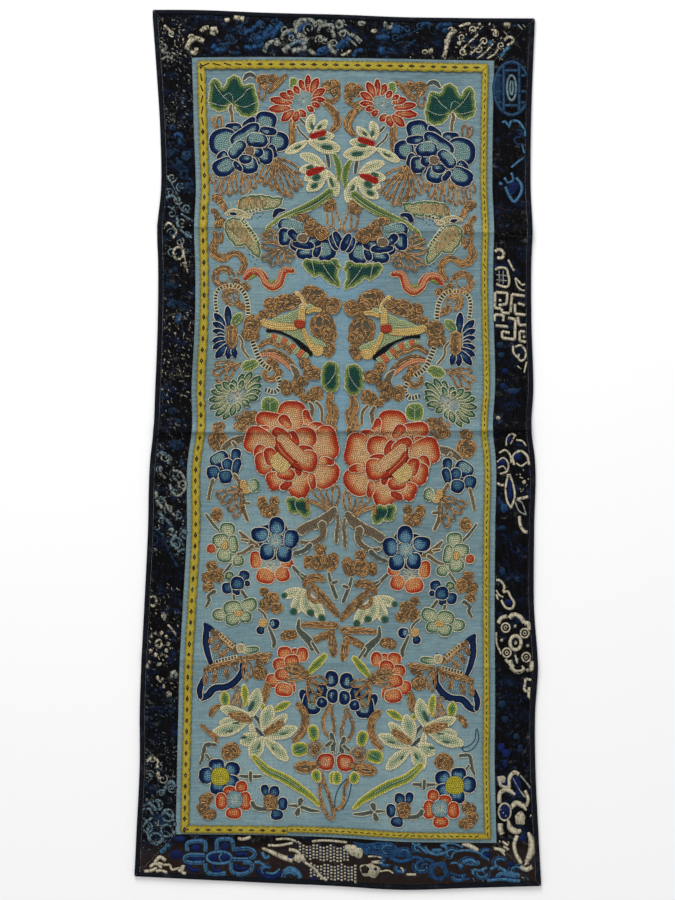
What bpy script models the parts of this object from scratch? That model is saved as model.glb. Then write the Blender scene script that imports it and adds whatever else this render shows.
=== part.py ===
# Embroidered sleeve panel, lying face up on z = 0 with its top towards +Y, in metres.
# Two silk bands are sewn side by side and trimmed with woven ribbon. A mitred brocade border frames them,
# a folded binding closes the edge, and three old fold ridges cross the whole width.
import bmesh
import bpy
import numpy as np

MM = 0.001

# Driving sizes in millimetres
GAP = 0.3
BAND_THICK = 1.2
RIBBON_THICK = 1.0
BORDER_THICK = 1.6
BINDING_THICK = 2.0
BINDING_WIDTH = 3.2
BINDING_EDGE_DROP = 0.7
BINDING_COLUMNS = (0.0, 0.3, 0.72, 1.0)
MITRE_PULL = 0.22
ROW_STEP = 13.0
COLUMN_STEP = 14.0
FIELD_BOTTOM = -262.0
FIELD_TOP = 264.0

# The long edges seen from above, a row for each height: x of each line in millimetres
LONG_COLUMNS = ("y", "outer_left", "field_left", "seam", "field_right", "outer_right")
LONG_ROWS = (
    (-296.0, -137.6, -110.4, -2.8, 107.8, 137.3),
    (-262.0, -136.0, -109.5, -2.4, 107.0, 135.5),
    (-210.0, -133.6, -108.3, -1.5, 105.8, 133.2),
    (-175.0, -133.6, -107.5, -0.6, 106.1, 133.2),
    (-150.0, -132.8, -106.9, 0.2, 106.0, 134.9),
    (-105.0, -130.5, -104.5, 1.2, 105.8, 132.3),
    (-55.0, -128.1, -101.8, 2.0, 106.1, 132.4),
    (-5.0, -126.4, -101.0, 2.5, 106.4, 132.8),
    (13.0, -124.4, -98.4, 2.6, 104.6, 130.6),
    (40.0, -123.2, -98.6, 2.8, 106.0, 131.8),
    (85.0, -121.5, -96.4, 3.0, 105.3, 130.6),
    (125.0, -121.2, -96.1, 2.9, 104.8, 130.5),
    (149.0, -121.8, -96.9, 2.9, 105.4, 131.3),
    (175.0, -119.3, -95.7, 2.8, 104.3, 130.1),
    (210.0, -119.6, -96.8, 2.8, 104.4, 130.1),
    (264.0, -122.8, -98.4, 2.8, 105.5, 131.8),
    (292.0, -124.9, -99.6, 2.8, 106.2, 133.0),
)

# The short edges, a row for each place across: y of each line in millimetres
SHORT_COLUMNS = ("x", "outer_bottom", "field_bottom", "field_top", "outer_top")
SHORT_ROWS = (
    (-138.0, -287.5, -259.1, 264.0, 296.8),
    (-87.0, -290.1, -259.5, 264.9, 296.5),
    (-52.0, -291.8, -259.9, 265.2, 295.0),
    (0.0, -294.2, -261.5, 264.6, 293.6),
    (44.0, -296.8, -264.4, 263.9, 291.9),
    (85.0, -295.6, -265.0, 263.0, 291.3),
    (138.0, -294.0, -265.3, 262.2, 290.9),
)

# The fold ridges, a row for each: ends of the crest, its height along the width, and how far it falls away
FOLD_COLUMNS = ("y_left", "y_right", "high_left", "high_mid", "high_right", "above", "below")
FOLD_ROWS = (
    (-141.0, -147.0, 1.2, 1.0, 1.4, 9.0, 8.0),
    (12.1, 13.5, 2.6, 2.1, 2.7, 9.0, 5.0),
    (151.0, 146.2, 1.9, 1.2, 2.1, 9.0, 7.0),
)
FOLD_ENDS = (-125.0, 132.0)
CREST_SHARE = ((-1.0, 0.0), (-0.5, 0.28), (-0.16, 0.74), (0.0, 1.0), (0.16, 0.78), (0.5, 0.3), (1.0, 0.0))

# Ribbons: distance of the outer edge from the border, width, scallop depth inside and outside, scallop pitch
RIBBON_COLUMNS = ("margin", "width", "lobe_in", "lobe_out", "pitch")
RIBBONS = {
    "ribbon_left": (3.5, 4.9, 0.8, 0.3, 7.6),
    "ribbon_top": (2.6, 5.2, 0.8, 0.3, 7.6),
    "ribbon_bottom_left": (1.2, 4.6, 0.6, 0.2, 7.6),
    "ribbon_right": (3.9, 3.9, 0.35, 0.1, 10.6),
    "ribbon_bottom_right": (2.6, 3.9, 0.3, 0.1, 10.6),
}
RIBBON_CHANGE = -34.0

LONG = dict(zip(LONG_COLUMNS, np.array(LONG_ROWS).T))
SHORT = dict(zip(SHORT_COLUMNS, np.array(SHORT_ROWS).T))
FOLDS = [dict(zip(FOLD_COLUMNS, row)) for row in FOLD_ROWS]


def smooth(at, places, values):
    """A curve through the table's values with continuous slope: a cubic between each two rows."""
    at = np.asarray(at, float)
    slopes = np.gradient(values, places)
    i = np.clip(np.searchsorted(places, at) - 1, 0, len(places) - 2)
    width = places[i + 1] - places[i]
    t = np.clip((at - places[i]) / width, 0.0, 1.0)
    return (
        values[i] * (1 + 2 * t) * (1 - t) ** 2
        + slopes[i] * width * t * (1 - t) ** 2
        + values[i + 1] * t * t * (3 - 2 * t)
        - slopes[i + 1] * width * t * t * (1 - t)
    )


def long_line(column, shift=0.0):
    """x as a function of y along one of the long lines, moved sideways by shift."""
    return lambda y: smooth(y, LONG["y"], LONG[column]) + shift


def short_line(column, shift=0.0):
    """y as a function of x along one of the short lines, moved up or down by shift."""
    return lambda x: smooth(x, SHORT["x"], SHORT[column]) + shift


def corner(x_of_y, y_of_x, start):
    """Where a long and a short line cross, found by stepping between the two."""
    y = start
    for _ in range(6):
        x = float(x_of_y(y))
        y = float(y_of_x(x))
    return np.array((x, y))


def crest(fold, x):
    """Height on the panel at which a fold's crest crosses x."""
    share = (x - FOLD_ENDS[0]) / (FOLD_ENDS[1] - FOLD_ENDS[0])
    return fold["y_left"] + (fold["y_right"] - fold["y_left"]) * share


def reach(fold, share):
    """Distance from the crest at a share of the fold's fall, negative below it."""
    return share * (fold["above"] if share > 0 else fold["below"])


def lift(x, y):
    """How far the cloth stands off the table: zero but for the fold ridges, which have straight facets."""
    up = 0.0
    across = (FOLD_ENDS[0], 0.0, FOLD_ENDS[1])
    for fold in FOLDS:
        away = y - crest(fold, x)
        high = np.interp(x, across, (fold["high_left"], fold["high_mid"], fold["high_right"]))
        places = [reach(fold, share) for share, _ in CREST_SHARE]
        up += high * np.interp(away, places, [part for _, part in CREST_SHARE])
    return up


def row_values(step):
    """Rows from the field's bottom to its top: one at each facet of each fold, others about a step apart."""
    facets = [crest(fold, 0.0) + reach(fold, share) for fold in FOLDS for share, _ in CREST_SHARE]
    count = round((FIELD_TOP - FIELD_BOTTOM) / step)
    even = np.linspace(FIELD_BOTTOM, FIELD_TOP, count + 1)
    clear = [v for v in even if min(abs(v - facet) for facet in facets) > step * 0.3]
    return np.array(sorted(facets + clear))


def along(rows, x, low, high):
    """y of each row at x, for a strip that runs from low to high. The folds' rows keep to their crests."""
    marks = [FIELD_BOTTOM] + [crest(fold, 0.0) for fold in FOLDS] + [FIELD_TOP]
    return np.interp(rows, marks, [low] + [crest(fold, x) for fold in FOLDS] + [high])


def long_strip(rows, near, far, bottom, top, shares):
    """Points of a strip between two long lines, cut at its ends by lines from near to far corner."""
    columns = []
    for share in shares:
        low = bottom[0][1] + (bottom[1][1] - bottom[0][1]) * share
        high = top[0][1] + (top[1][1] - top[0][1]) * share
        middle = float(near(0.0) + (far(0.0) - near(0.0)) * share)
        y = along(rows, middle, low, high)
        columns.append(np.stack([near(y) + (far(y) - near(y)) * share, y], axis=1))
    return np.stack(columns, axis=1)


def short_strip(near, far, left, right, shares, step):
    """Points of a strip between two short lines, cut at its ends by lines from near to far corner."""
    count = max(1, round((right[0][0] - left[0][0]) / step))
    places = np.linspace(0.0, 1.0, count + 1)
    columns = []
    for share in shares:
        start = left[0][0] + (left[1][0] - left[0][0]) * share
        end = right[0][0] + (right[1][0] - right[0][0]) * share
        x = start + (end - start) * places
        columns.append(np.stack([x, near(x) + (far(x) - near(x)) * share], axis=1))
    return np.stack(columns, axis=1)


def linear(srgb):
    """A hex colour as linear red, green, blue and alpha."""
    channels = [int(srgb[i : i + 2], 16) / 255 for i in (1, 3, 5)]
    return [c / 12.92 if c <= 0.04045 else ((c + 0.055) / 1.055) ** 2.4 for c in channels] + [1.0]


def cloth(name, colour, roughness):
    """A plain cloth material: the part's colour, no metal."""
    material = bpy.data.materials.new(name)
    material.use_nodes = True
    shader = material.node_tree.nodes["Principled BSDF"]
    shader.inputs["Base Color"].default_value = linear(colour)
    shader.inputs["Roughness"].default_value = roughness
    shader.inputs["Metallic"].default_value = 0.0
    return material


def layer(name, points, base, thick, material, drops=None):
    """A closed piece of cloth: its underside is a grid of faces on the lift, extruded straight up by thick.
    drops lowers the upper face column by column, for a rolled edge."""
    mesh = bpy.data.meshes.new(name)
    shape = bmesh.new()
    fall = shape.verts.layers.float.new("fall")
    under = []
    for row in points:
        line = [shape.verts.new((x * MM, y * MM, (base + lift(x, y)) * MM)) for x, y in row]
        for vert, drop in zip(line, drops or [0.0] * len(line)):
            vert[fall] = drop
        under.append(line)
    for first, second in zip(under, under[1:]):
        for k in range(len(first) - 1):
            shape.faces.new((first[k], first[k + 1], second[k + 1], second[k]))
    made = bmesh.ops.extrude_face_region(shape, geom=shape.faces[:])
    for vert in [item for item in made["geom"] if isinstance(item, bmesh.types.BMVert)]:
        vert.co.z += (thick - vert[fall]) * MM
    bmesh.ops.recalc_face_normals(shape, faces=shape.faces[:])
    shape.verts.layers.float.remove(fall)
    shape.to_mesh(mesh)
    shape.free()
    mesh.materials.append(material)
    mesh.shade_smooth()
    mesh.set_sharp_from_angle(angle=np.radians(35.0))
    piece = bpy.data.objects.new(name, mesh)
    bpy.context.scene.collection.objects.link(piece)
    return piece


def corners_at(inset, gap):
    """The four mitre corners of a frame line, inset from the panel's edge, or on the field's edge for None.
    Each is given for both strips that meet there, which gap pulls apart."""
    kind, shift = ("field", 0.0) if inset is None else ("outer", inset)
    found = {}
    for side, inward in (("left", shift), ("right", -shift)):
        for end, down in (("bottom", shift), ("top", -shift)):
            start = LONG["y"][0] if end == "bottom" else LONG["y"][-1]
            point = corner(long_line(f"{kind}_{side}", inward), short_line(f"{kind}_{end}", down), start)
            toward = np.array((1.0 if side == "left" else -1.0, 1.0 if end == "bottom" else -1.0))
            found[side, end, "long"] = point + toward * (0.0, gap)
            found[side, end, "short"] = point + toward * (gap, 0.0)
    return found


def frame_strips(near_inset, far_inset, shares, rows, gap):
    """The four mitred strips between two frame lines, as side and points. None is the field's edge."""
    near, far = corners_at(near_inset, gap), corners_at(far_inset, gap)
    near_kind, near_shift = ("field", GAP / 2) if near_inset is None else ("outer", near_inset)
    for side, sign in (("left", 1.0), ("right", -1.0)):
        shift = near_shift * (-sign if near_inset is None else sign)
        lines = long_line(f"{near_kind}_{side}", shift), long_line(f"outer_{side}", sign * far_inset)
        ends = [(near[side, end, "long"], far[side, end, "long"]) for end in ("bottom", "top")]
        yield side, long_strip(rows, *lines, *ends, shares)
    for end, sign in (("bottom", 1.0), ("top", -1.0)):
        shift = near_shift * (-sign if near_inset is None else sign)
        lines = short_line(f"{near_kind}_{end}", shift), short_line(f"outer_{end}", sign * far_inset)
        ends = [(near[side, end, "short"], far[side, end, "short"]) for side in ("left", "right")]
        yield end, short_strip(*lines, *ends, shares, COLUMN_STEP)


def make_bands(rows, silk):
    """The two silk bands, from the seam in the middle to the border."""
    columns = np.linspace(0.0, 1.0, 5)
    for side, sign in (("left", -1.0), ("right", 1.0)):
        seam = long_line("seam", sign * GAP / 2)
        edge = long_line(f"field_{side}", -sign * GAP / 2)
        low, high = short_line("field_bottom", GAP / 2), short_line("field_top", -GAP / 2)
        ends = []
        for line, start in ((low, FIELD_BOTTOM), (high, FIELD_TOP)):
            ends.append((corner(seam, line, start), corner(edge, line, start)))
        points = long_strip(rows, seam, edge, *ends, columns)
        for k, line in ((0, low), (-1, high)):
            points[k, :, 1] = line(points[k, :, 0])
        layer(f"band_{side}", points, 0.0, BAND_THICK, silk)


def scalloped(points, lobes, pitch, axis):
    """Moves the two edges of a ribbon outwards by a lobe for each pitch along its axis: a looped edge."""
    inner, outer = points[:, 0], points[:, -1]
    away = np.sign(outer[0, 1 - axis] - inner[0, 1 - axis])
    run = np.abs(inner[:, axis] - inner[0, axis])
    wave = np.abs(np.sin(np.pi * run / pitch))
    wave[[0, -1]] = 0.0
    points[:, 0, 1 - axis] -= away * lobes[0] * wave
    points[:, -1, 1 - axis] += away * lobes[1] * wave
    return points


def make_ribbons(silk):
    """The five ribbons on the bands, mitred where two meet at a corner, butted where the kind changes."""
    spec = {name: dict(zip(RIBBON_COLUMNS, row)) for name, row in RIBBONS.items()}
    base = BAND_THICK + GAP
    shares = (0.0, 1.0)

    def long_edges(side):
        row = spec[f"ribbon_{side}"]
        sign = 1.0 if side == "left" else -1.0
        outer = long_line(f"field_{side}", sign * row["margin"])
        return long_line(f"field_{side}", sign * (row["margin"] + row["width"])), outer

    def short_edges(name, end):
        row = spec[name]
        sign = 1.0 if end == "bottom" else -1.0
        outer = short_line(f"field_{end}", sign * row["margin"])
        return short_line(f"field_{end}", sign * (row["margin"] + row["width"])), outer

    ends_of = {
        ("left", "bottom"): "ribbon_bottom_left",
        ("left", "top"): "ribbon_top",
        ("right", "bottom"): "ribbon_bottom_right",
        ("right", "top"): "ribbon_top",
    }
    mitre = {}
    for (side, end), name in ends_of.items():
        start = FIELD_BOTTOM if end == "bottom" else FIELD_TOP
        for k, (long_edge, short_edge) in enumerate(zip(long_edges(side), short_edges(name, end))):
            point = corner(long_edge, short_edge, start)
            toward = np.array((1.0 if side == "left" else -1.0, 1.0 if end == "bottom" else -1.0))
            mitre[side, end, "long", k] = point + toward * (0.0, MITRE_PULL)
            mitre[side, end, "short", k] = point + toward * (MITRE_PULL, 0.0)

    def pair(side, end, kind):
        return mitre[side, end, kind, 0], mitre[side, end, kind, 1]

    for side in ("left", "right"):
        row = spec[f"ribbon_{side}"]
        rows = row_values(row["pitch"] / 2)
        ends = pair(side, "bottom", "long"), pair(side, "top", "long")
        points = long_strip(rows, *long_edges(side), *ends, shares)
        points = scalloped(points, (row["lobe_in"], row["lobe_out"]), row["pitch"], 1)
        layer(f"ribbon_{side}", points, base, RIBBON_THICK, silk)

    change = [np.array((RIBBON_CHANGE + shift, 0.0)) for shift in (-GAP, GAP)]
    runs = (
        ("ribbon_top", "top", pair("left", "top", "short"), pair("right", "top", "short")),
        ("ribbon_bottom_left", "bottom", pair("left", "bottom", "short"), (change[0], change[0])),
        ("ribbon_bottom_right", "bottom", (change[1], change[1]), pair("right", "bottom", "short")),
    )
    for name, end, left, right in runs:
        row = spec[name]
        points = short_strip(*short_edges(name, end), left, right, shares, row["pitch"] / 2)
        points = scalloped(points, (row["lobe_in"], row["lobe_out"]), row["pitch"], 0)
        layer(name, points, base, RIBBON_THICK, silk)


def make_frame(rows, brocade, binding_cloth):
    """The brocade border and the folded binding outside it, four mitred strips each."""
    seam = BINDING_WIDTH + GAP / 2
    for side, points in frame_strips(None, seam + GAP / 2, (0.0, 1.0), rows, MITRE_PULL):
        layer(f"border_{side}", points, 0.0, BORDER_THICK, brocade)
    drops = (BINDING_EDGE_DROP, 0.0, 0.0, BINDING_EDGE_DROP)
    for side, points in frame_strips(seam - GAP / 2, 0.0, BINDING_COLUMNS, rows, MITRE_PULL):
        layer(f"binding_{side}", points, 0.0, BINDING_THICK, binding_cloth, drops)


def main():
    for item in list(bpy.data.objects):
        bpy.data.objects.remove(item)
    rows = row_values(ROW_STEP)
    make_bands(rows, cloth("blue silk", "#6e8a8c", 0.7))
    make_ribbons(cloth("yellow ribbon", "#a8922c", 0.6))
    make_frame(rows, cloth("dark brocade", "#16151a", 0.65), cloth("navy binding", "#181d26", 0.75))


main()
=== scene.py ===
# Embroidered sleeve panel: cloth, ribbons, embroidery and light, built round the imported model.
# Sizes and places are millimetres in the model's frame, until toMesh puts them into a mesh. Motifs are
# placed in photo pixels, and the floor and the lamps in metres.
import bpy
import numpy as np
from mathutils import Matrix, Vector
from mathutils.geometry import delaunay_2d_cdt


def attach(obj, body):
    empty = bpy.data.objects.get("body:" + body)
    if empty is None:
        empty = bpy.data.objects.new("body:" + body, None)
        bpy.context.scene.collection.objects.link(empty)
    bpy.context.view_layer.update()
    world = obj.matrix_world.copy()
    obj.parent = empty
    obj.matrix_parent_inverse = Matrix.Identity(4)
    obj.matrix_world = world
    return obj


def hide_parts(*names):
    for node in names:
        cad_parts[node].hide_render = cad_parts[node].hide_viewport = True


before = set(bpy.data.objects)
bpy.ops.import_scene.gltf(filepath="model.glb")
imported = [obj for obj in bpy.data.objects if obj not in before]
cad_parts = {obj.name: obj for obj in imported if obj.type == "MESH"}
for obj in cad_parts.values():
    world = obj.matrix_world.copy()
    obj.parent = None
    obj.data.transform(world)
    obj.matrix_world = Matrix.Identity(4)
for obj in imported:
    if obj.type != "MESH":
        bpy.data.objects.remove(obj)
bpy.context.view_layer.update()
mm = 0.001

# Camera and photo: what a user would change to frame the panel
photo = {"height": 900, "mmPerPixel": 0.675, "origin": (337.8, 449.9), "centre": (-0.2, -0.07),
         "lens": 100.0, "sensor": 36.0}
pixel = photo["mmPerPixel"]


# An sRGB hex colour as linear red, green, blue and alpha. A channel up to 0.04045 is divided by 12.92, and
# 0.055 is added to a brighter one before it is divided by 1.055 and raised to 2.4.
def hexColour(code):
    part = np.array([int(code[i:i + 2], 16) / 255 for i in (1, 3, 5)])
    part = np.where(part <= 0.04045, part / 12.92, ((part + 0.055) / 1.055) ** 2.4)
    return (*[float(c) for c in part], 1.0)


# Adds a shader node: settings are its options, values go to its sockets, links join sockets to outputs.
def addNode(tree, kind, values=(), links=(), **settings):
    node = tree.nodes.new("ShaderNode" + kind)
    for name, value in settings.items():
        setattr(node, name, value)
    for name, value in dict(values).items():
        node.inputs[name].default_value = value
    for name, source in dict(links).items():
        tree.links.new(source, node.inputs[name])
    return node


# Noise in a material: its grains' size in mm, detail, stretch along x, y and z, turn about z, and roughness
plainGrain = {"size": 1.0, "detail": 2.0, "stretch": (1.0, 1.0, 1.0), "turn": 0.0, "roughness": 0.5}


# A material with its shader's plain values set, and what its colours are made from: the place on the piece,
# one noise for each row of grains, and the piece's own dye with its painted light and shade where it has
# them.
def newMaterial(name, grains, dyed=False, **sockets):
    material = bpy.data.materials.new(name)
    material.use_nodes = True
    tree = material.node_tree
    shader = tree.nodes["Principled BSDF"]
    for key, value in sockets.items():
        shader.inputs[key.replace("_", " ")].default_value = value
    found = {}
    if dyed:
        dye = addNode(tree, "Attribute", attribute_name="dye")
        found.update(dye=dye.outputs["Color"], worn=dye.outputs["Alpha"])
    if grains:
        found["place"] = addNode(tree, "TexCoord").outputs["Object"]
    for grain, own in grains.items():
        row = {**plainGrain, **own}
        scale = [1 / (mm * row["size"] * stretch) for stretch in row["stretch"]]
        mapped = addNode(tree, "Mapping", {"Scale": scale, "Rotation": (0, 0, row["turn"])},
                         {"Vector": found["place"]})
        noise = addNode(tree, "TexNoise", {"Scale": 1.0, "Detail": row["detail"],
                                           "Roughness": row["roughness"]},
                        {"Vector": mapped.outputs["Vector"]})
        found[grain] = noise.outputs["Fac"]
    return material, tree, shader, found


# Lays one colour over another where patterns say so. Each pattern is a source, the two values between which
# it comes in, and its share at both. Several are multiplied, and without any the whole colour goes on.
def coat(tree, under, over, *patterns, blend="MIX"):
    shares = []
    for source, low, high, *ends in patterns:
        start, end = ends or (0.0, 1.0)
        values = {"From Min": low, "From Max": high, "To Min": start, "To Max": end}
        shares.append(addNode(tree, "MapRange", values, {"Value": source}).outputs["Result"])
    if len(shares) > 1:
        shares = [addNode(tree, "Math", links=dict(enumerate(shares)), operation="MULTIPLY").outputs[0]]
    mix = addNode(tree, "Mix", data_type="RGBA", blend_type=blend)
    for index, item in ((0, shares[0] if shares else 1.0), (6, under), (7, over)):
        if isinstance(item, bpy.types.NodeSocket):
            tree.links.new(item, mix.inputs[index])
        else:
            mix.inputs[index].default_value = hexColour(item) if isinstance(item, str) else item
    return mix.outputs[2]


# Joins a colour to a material's shader, and the weave's height as a bump where one is given.
def toShader(tree, shader, colour, height=None, strength=0.5):
    tree.links.new(colour, shader.inputs["Base Color"])
    if height is not None:
        bump = addNode(tree, "Bump", {"Strength": strength, "Distance": threadDeep * mm}, {"Height": height})
        tree.links.new(bump.outputs["Normal"], shader.inputs["Normal"])


threadDeep = 0.3  # how deep the furrows between threads look, in mm


# The panel's lines seen from above, as the model has them: y, then x of each long line
longColumns = ("y", "outerLeft", "fieldLeft", "seam", "fieldRight", "outerRight")
longRows = (
    (-296.0, -137.6, -110.4, -2.8, 107.8, 137.3),
    (-262.0, -136.0, -109.5, -2.4, 107.0, 135.5),
    (-210.0, -133.6, -108.3, -1.5, 105.8, 133.2),
    (-175.0, -133.6, -107.5, -0.6, 106.1, 133.2),
    (-150.0, -132.8, -106.9, 0.2, 106.0, 134.9),
    (-105.0, -130.5, -104.5, 1.2, 105.8, 132.3),
    (-55.0, -128.1, -101.8, 2.0, 106.1, 132.4),
    (-5.0, -126.4, -101.0, 2.5, 106.4, 132.8),
    (13.0, -124.4, -98.4, 2.6, 104.6, 130.6),
    (40.0, -123.2, -98.6, 2.8, 106.0, 131.8),
    (85.0, -121.5, -96.4, 3.0, 105.3, 130.6),
    (125.0, -121.2, -96.1, 2.9, 104.8, 130.5),
    (149.0, -121.8, -96.9, 2.9, 105.4, 131.3),
    (175.0, -119.3, -95.7, 2.8, 104.3, 130.1),
    (210.0, -119.6, -96.8, 2.8, 104.4, 130.1),
    (264.0, -122.8, -98.4, 2.8, 105.5, 131.8),
    (292.0, -124.9, -99.6, 2.8, 106.2, 133.0),
)
shortColumns = ("x", "outerBottom", "fieldBottom", "fieldTop", "outerTop")
shortRows = (
    (-138.0, -287.5, -259.1, 264.0, 296.8),
    (-87.0, -290.1, -259.5, 264.9, 296.5),
    (-52.0, -291.8, -259.9, 265.2, 295.0),
    (0.0, -294.2, -261.5, 264.6, 293.6),
    (44.0, -296.8, -264.4, 263.9, 291.9),
    (85.0, -295.6, -265.0, 263.0, 291.3),
    (138.0, -294.0, -265.3, 262.2, 290.9),
)
longTable = dict(zip(longColumns, np.array(longRows).T))
shortTable = dict(zip(shortColumns, np.array(shortRows).T))
fieldBottom, fieldTop = -262.0, 264.0

# Old folds: ends of the crest, its height along the width, how far it falls away, and the crease below it
foldColumns = ("yLeft", "yRight", "highLeft", "highMid", "highRight", "above", "below", "groove")
foldRows = (
    (-141.0, -147.0, 1.2, 1.0, 1.4, 9.0, 8.0, 0.25),
    (12.1, 13.5, 2.6, 2.1, 2.7, 9.0, 5.0, 0.8),
    (151.0, 146.2, 1.9, 1.2, 2.1, 9.0, 7.0, 0.4),
)
folds = [dict(zip(foldColumns, row)) for row in foldRows]
foldEnds = (-125.0, 132.0)
crestShare = np.array(((-1.0, 0.0), (-0.5, 0.28), (-0.16, 0.74), (0.0, 1.0), (0.16, 0.78), (0.5, 0.3),
                       (1.0, 0.0)))
cloths = {"gap": 0.3, "leastWidth": 10.0, "band": 1.2, "ribbon": 1.0, "border": 1.6, "binding": 2.0,
          "bindingWidth": 3.2, "mitre": 0.22, "grid": 3.0, "ripple": 0.22, "creaseBelow": 1.5,
          "creaseWide": 0.75, "foldReach": 9.0}


# A curve through a table with continuous slope: a cubic between each two rows.
def smooth(at, places, values):
    at = np.asarray(at, float)
    slopes = np.gradient(values, places)
    i = np.clip(np.searchsorted(places, at) - 1, 0, len(places) - 2)
    width = places[i + 1] - places[i]
    t = np.clip((at - places[i]) / width, 0.0, 1.0)
    return (values[i] * (1 + 2 * t) * (1 - t) ** 2 + slopes[i] * width * t * (1 - t) ** 2
            + values[i + 1] * t * t * (3 - 2 * t) - slopes[i + 1] * width * t * t * (1 - t))


# x as a function of y along a long line, moved sideways by shift.
def longLine(column, shift=0.0):
    return lambda y: smooth(y, longTable["y"], longTable[column]) + shift


# y as a function of x along a short line, moved up or down by shift.
def shortLine(column, shift=0.0):
    return lambda x: smooth(x, shortTable["x"], shortTable[column]) + shift


# Where a long and a short line cross, found by stepping between the two.
def crossing(xOfY, yOfX, start):
    y = start
    for _ in range(6):
        x = float(xOfY(y))
        y = float(yOfX(x))
    return np.array((x, y))


# Height on the panel at which a fold's crest crosses x.
def crest(fold, x):
    return fold["yLeft"] + (fold["yRight"] - fold["yLeft"]) * (x - foldEnds[0]) / (foldEnds[1] - foldEnds[0])


# How far the cloth stands off the table: fold ridges, a crease below each crest, and slack ripples between.
def liftAt(x, y):
    long, short = np.sin(x / 31 + y / 47) * np.sin(y / 23 - x / 60), np.sin(y / 11.5 + x / 9)
    up = cloths["ripple"] * (1.6 + long + 0.6 * short)  # two sizes of ripple, about 150 and 60 mm long
    across = (foldEnds[0], 0.0, foldEnds[1])
    for fold in folds:
        away = y - crest(fold, x)
        high = np.interp(x, across, (fold["highLeft"], fold["highMid"], fold["highRight"]))
        share = np.where(away > 0, away / fold["above"], away / fold["below"])
        ridge = smooth(np.clip(share, -1, 1), crestShare[:, 0], crestShare[:, 1])
        dent = np.exp(-(((away + cloths["creaseBelow"]) / cloths["creaseWide"]) ** 2))
        crease = fold["groove"] * dent * (0.8 + 0.4 * np.sin(x / 17))
        up = up + high * ridge - crease
    return np.maximum(up, 0.0)


# Rows from the field's bottom to its top, a step apart, and 0.75 mm apart at the folds.
def rowPlaces(step):
    even = np.arange(fieldBottom, fieldTop + step / 2, step)
    steps = np.arange(-7.0, cloths["foldReach"] + 0.1, 0.75)
    close = np.concatenate([crest(fold, 0.0) + steps for fold in folds])
    clear = [v for v in even if np.abs(close - v).min() > step * 0.4]
    return np.array(sorted([fieldBottom, *clear[1:-1], *close, fieldTop]))


# y of each row at x, for a strip that runs from low to high. Rows at the folds keep to their crests.
def along(rows, x, low, high):
    reach = (-cloths["foldReach"], cloths["foldReach"])
    near = [crest(fold, 0.0) + away for fold in folds for away in reach]
    there = [crest(fold, x) + away for fold in folds for away in reach]
    return np.interp(rows, [fieldBottom, *near, fieldTop], [low, *there, high])


# Points of a strip between two long lines, cut at its ends by lines from near to far corner.
def longStrip(rows, near, far, bottom, top, shares):
    columns = []
    for share in shares:
        low = bottom[0][1] + (bottom[1][1] - bottom[0][1]) * share
        high = top[0][1] + (top[1][1] - top[0][1]) * share
        y = along(rows, float(near(0.0) + (far(0.0) - near(0.0)) * share), low, high)
        columns.append(np.stack([near(y) + (far(y) - near(y)) * share, y], axis=1))
    return np.stack(columns, axis=1)


# Points of a strip between two short lines, cut at its ends by lines from near to far corner.
def shortStrip(near, far, left, right, shares, step):
    places = np.linspace(0.0, 1.0, max(2, round((right[0][0] - left[0][0]) / step)) + 1)
    columns = []
    for share in shares:
        start = left[0][0] + (left[1][0] - left[0][0]) * share
        end = right[0][0] + (right[1][0] - right[0][0]) * share
        x = start + (end - start) * places
        columns.append(np.stack([x, near(x) + (far(x) - near(x)) * share], axis=1))
    return np.stack(columns, axis=1)


# The mitre corners of a frame line, inset from the panel's edge or on the field's edge for None, for both
# strips that meet there. gap pulls the two apart.
def cornersAt(inset, gap):
    kind, shift = ("field", 0.0) if inset is None else ("outer", inset)
    found = {}
    for side, inward in (("Left", shift), ("Right", -shift)):
        for end, down in (("Bottom", shift), ("Top", -shift)):
            start = longTable["y"][0 if end == "Bottom" else -1]
            point = crossing(longLine(kind + side, inward), shortLine(kind + end, down), start)
            toward = np.array((1.0 if side == "Left" else -1.0, 1.0 if end == "Bottom" else -1.0))
            found[side, end, "long"] = point + toward * (0.0, gap)
            found[side, end, "short"] = point + toward * (gap, 0.0)
    return found


# The four mitred strips between two frame lines, as side and points. None is the field's edge.
def frameStrips(nearInset, farInset, shares, rows, gap):
    near, far = cornersAt(nearInset, gap), cornersAt(farInset, gap)
    kind, inset = ("field", cloths["gap"] / 2) if nearInset is None else ("outer", nearInset)
    for side, sign in (("Left", 1.0), ("Right", -1.0)):
        shift = inset * (-sign if nearInset is None else sign)
        ends = [(near[side, end, "long"], far[side, end, "long"]) for end in ("Bottom", "Top")]
        yield side, longStrip(rows, longLine(kind + side, shift), longLine("outer" + side, sign * farInset),
                              *ends, shares)
    for end, sign in (("Bottom", 1.0), ("Top", -1.0)):
        shift = inset * (-sign if nearInset is None else sign)
        ends = [(near[side, end, "short"], far[side, end, "short"]) for side in ("Left", "Right")]
        lines = shortLine(kind + end, shift), shortLine("outer" + end, sign * farInset)
        yield end, shortStrip(*lines, *ends, shares, cloths["grid"])
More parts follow.
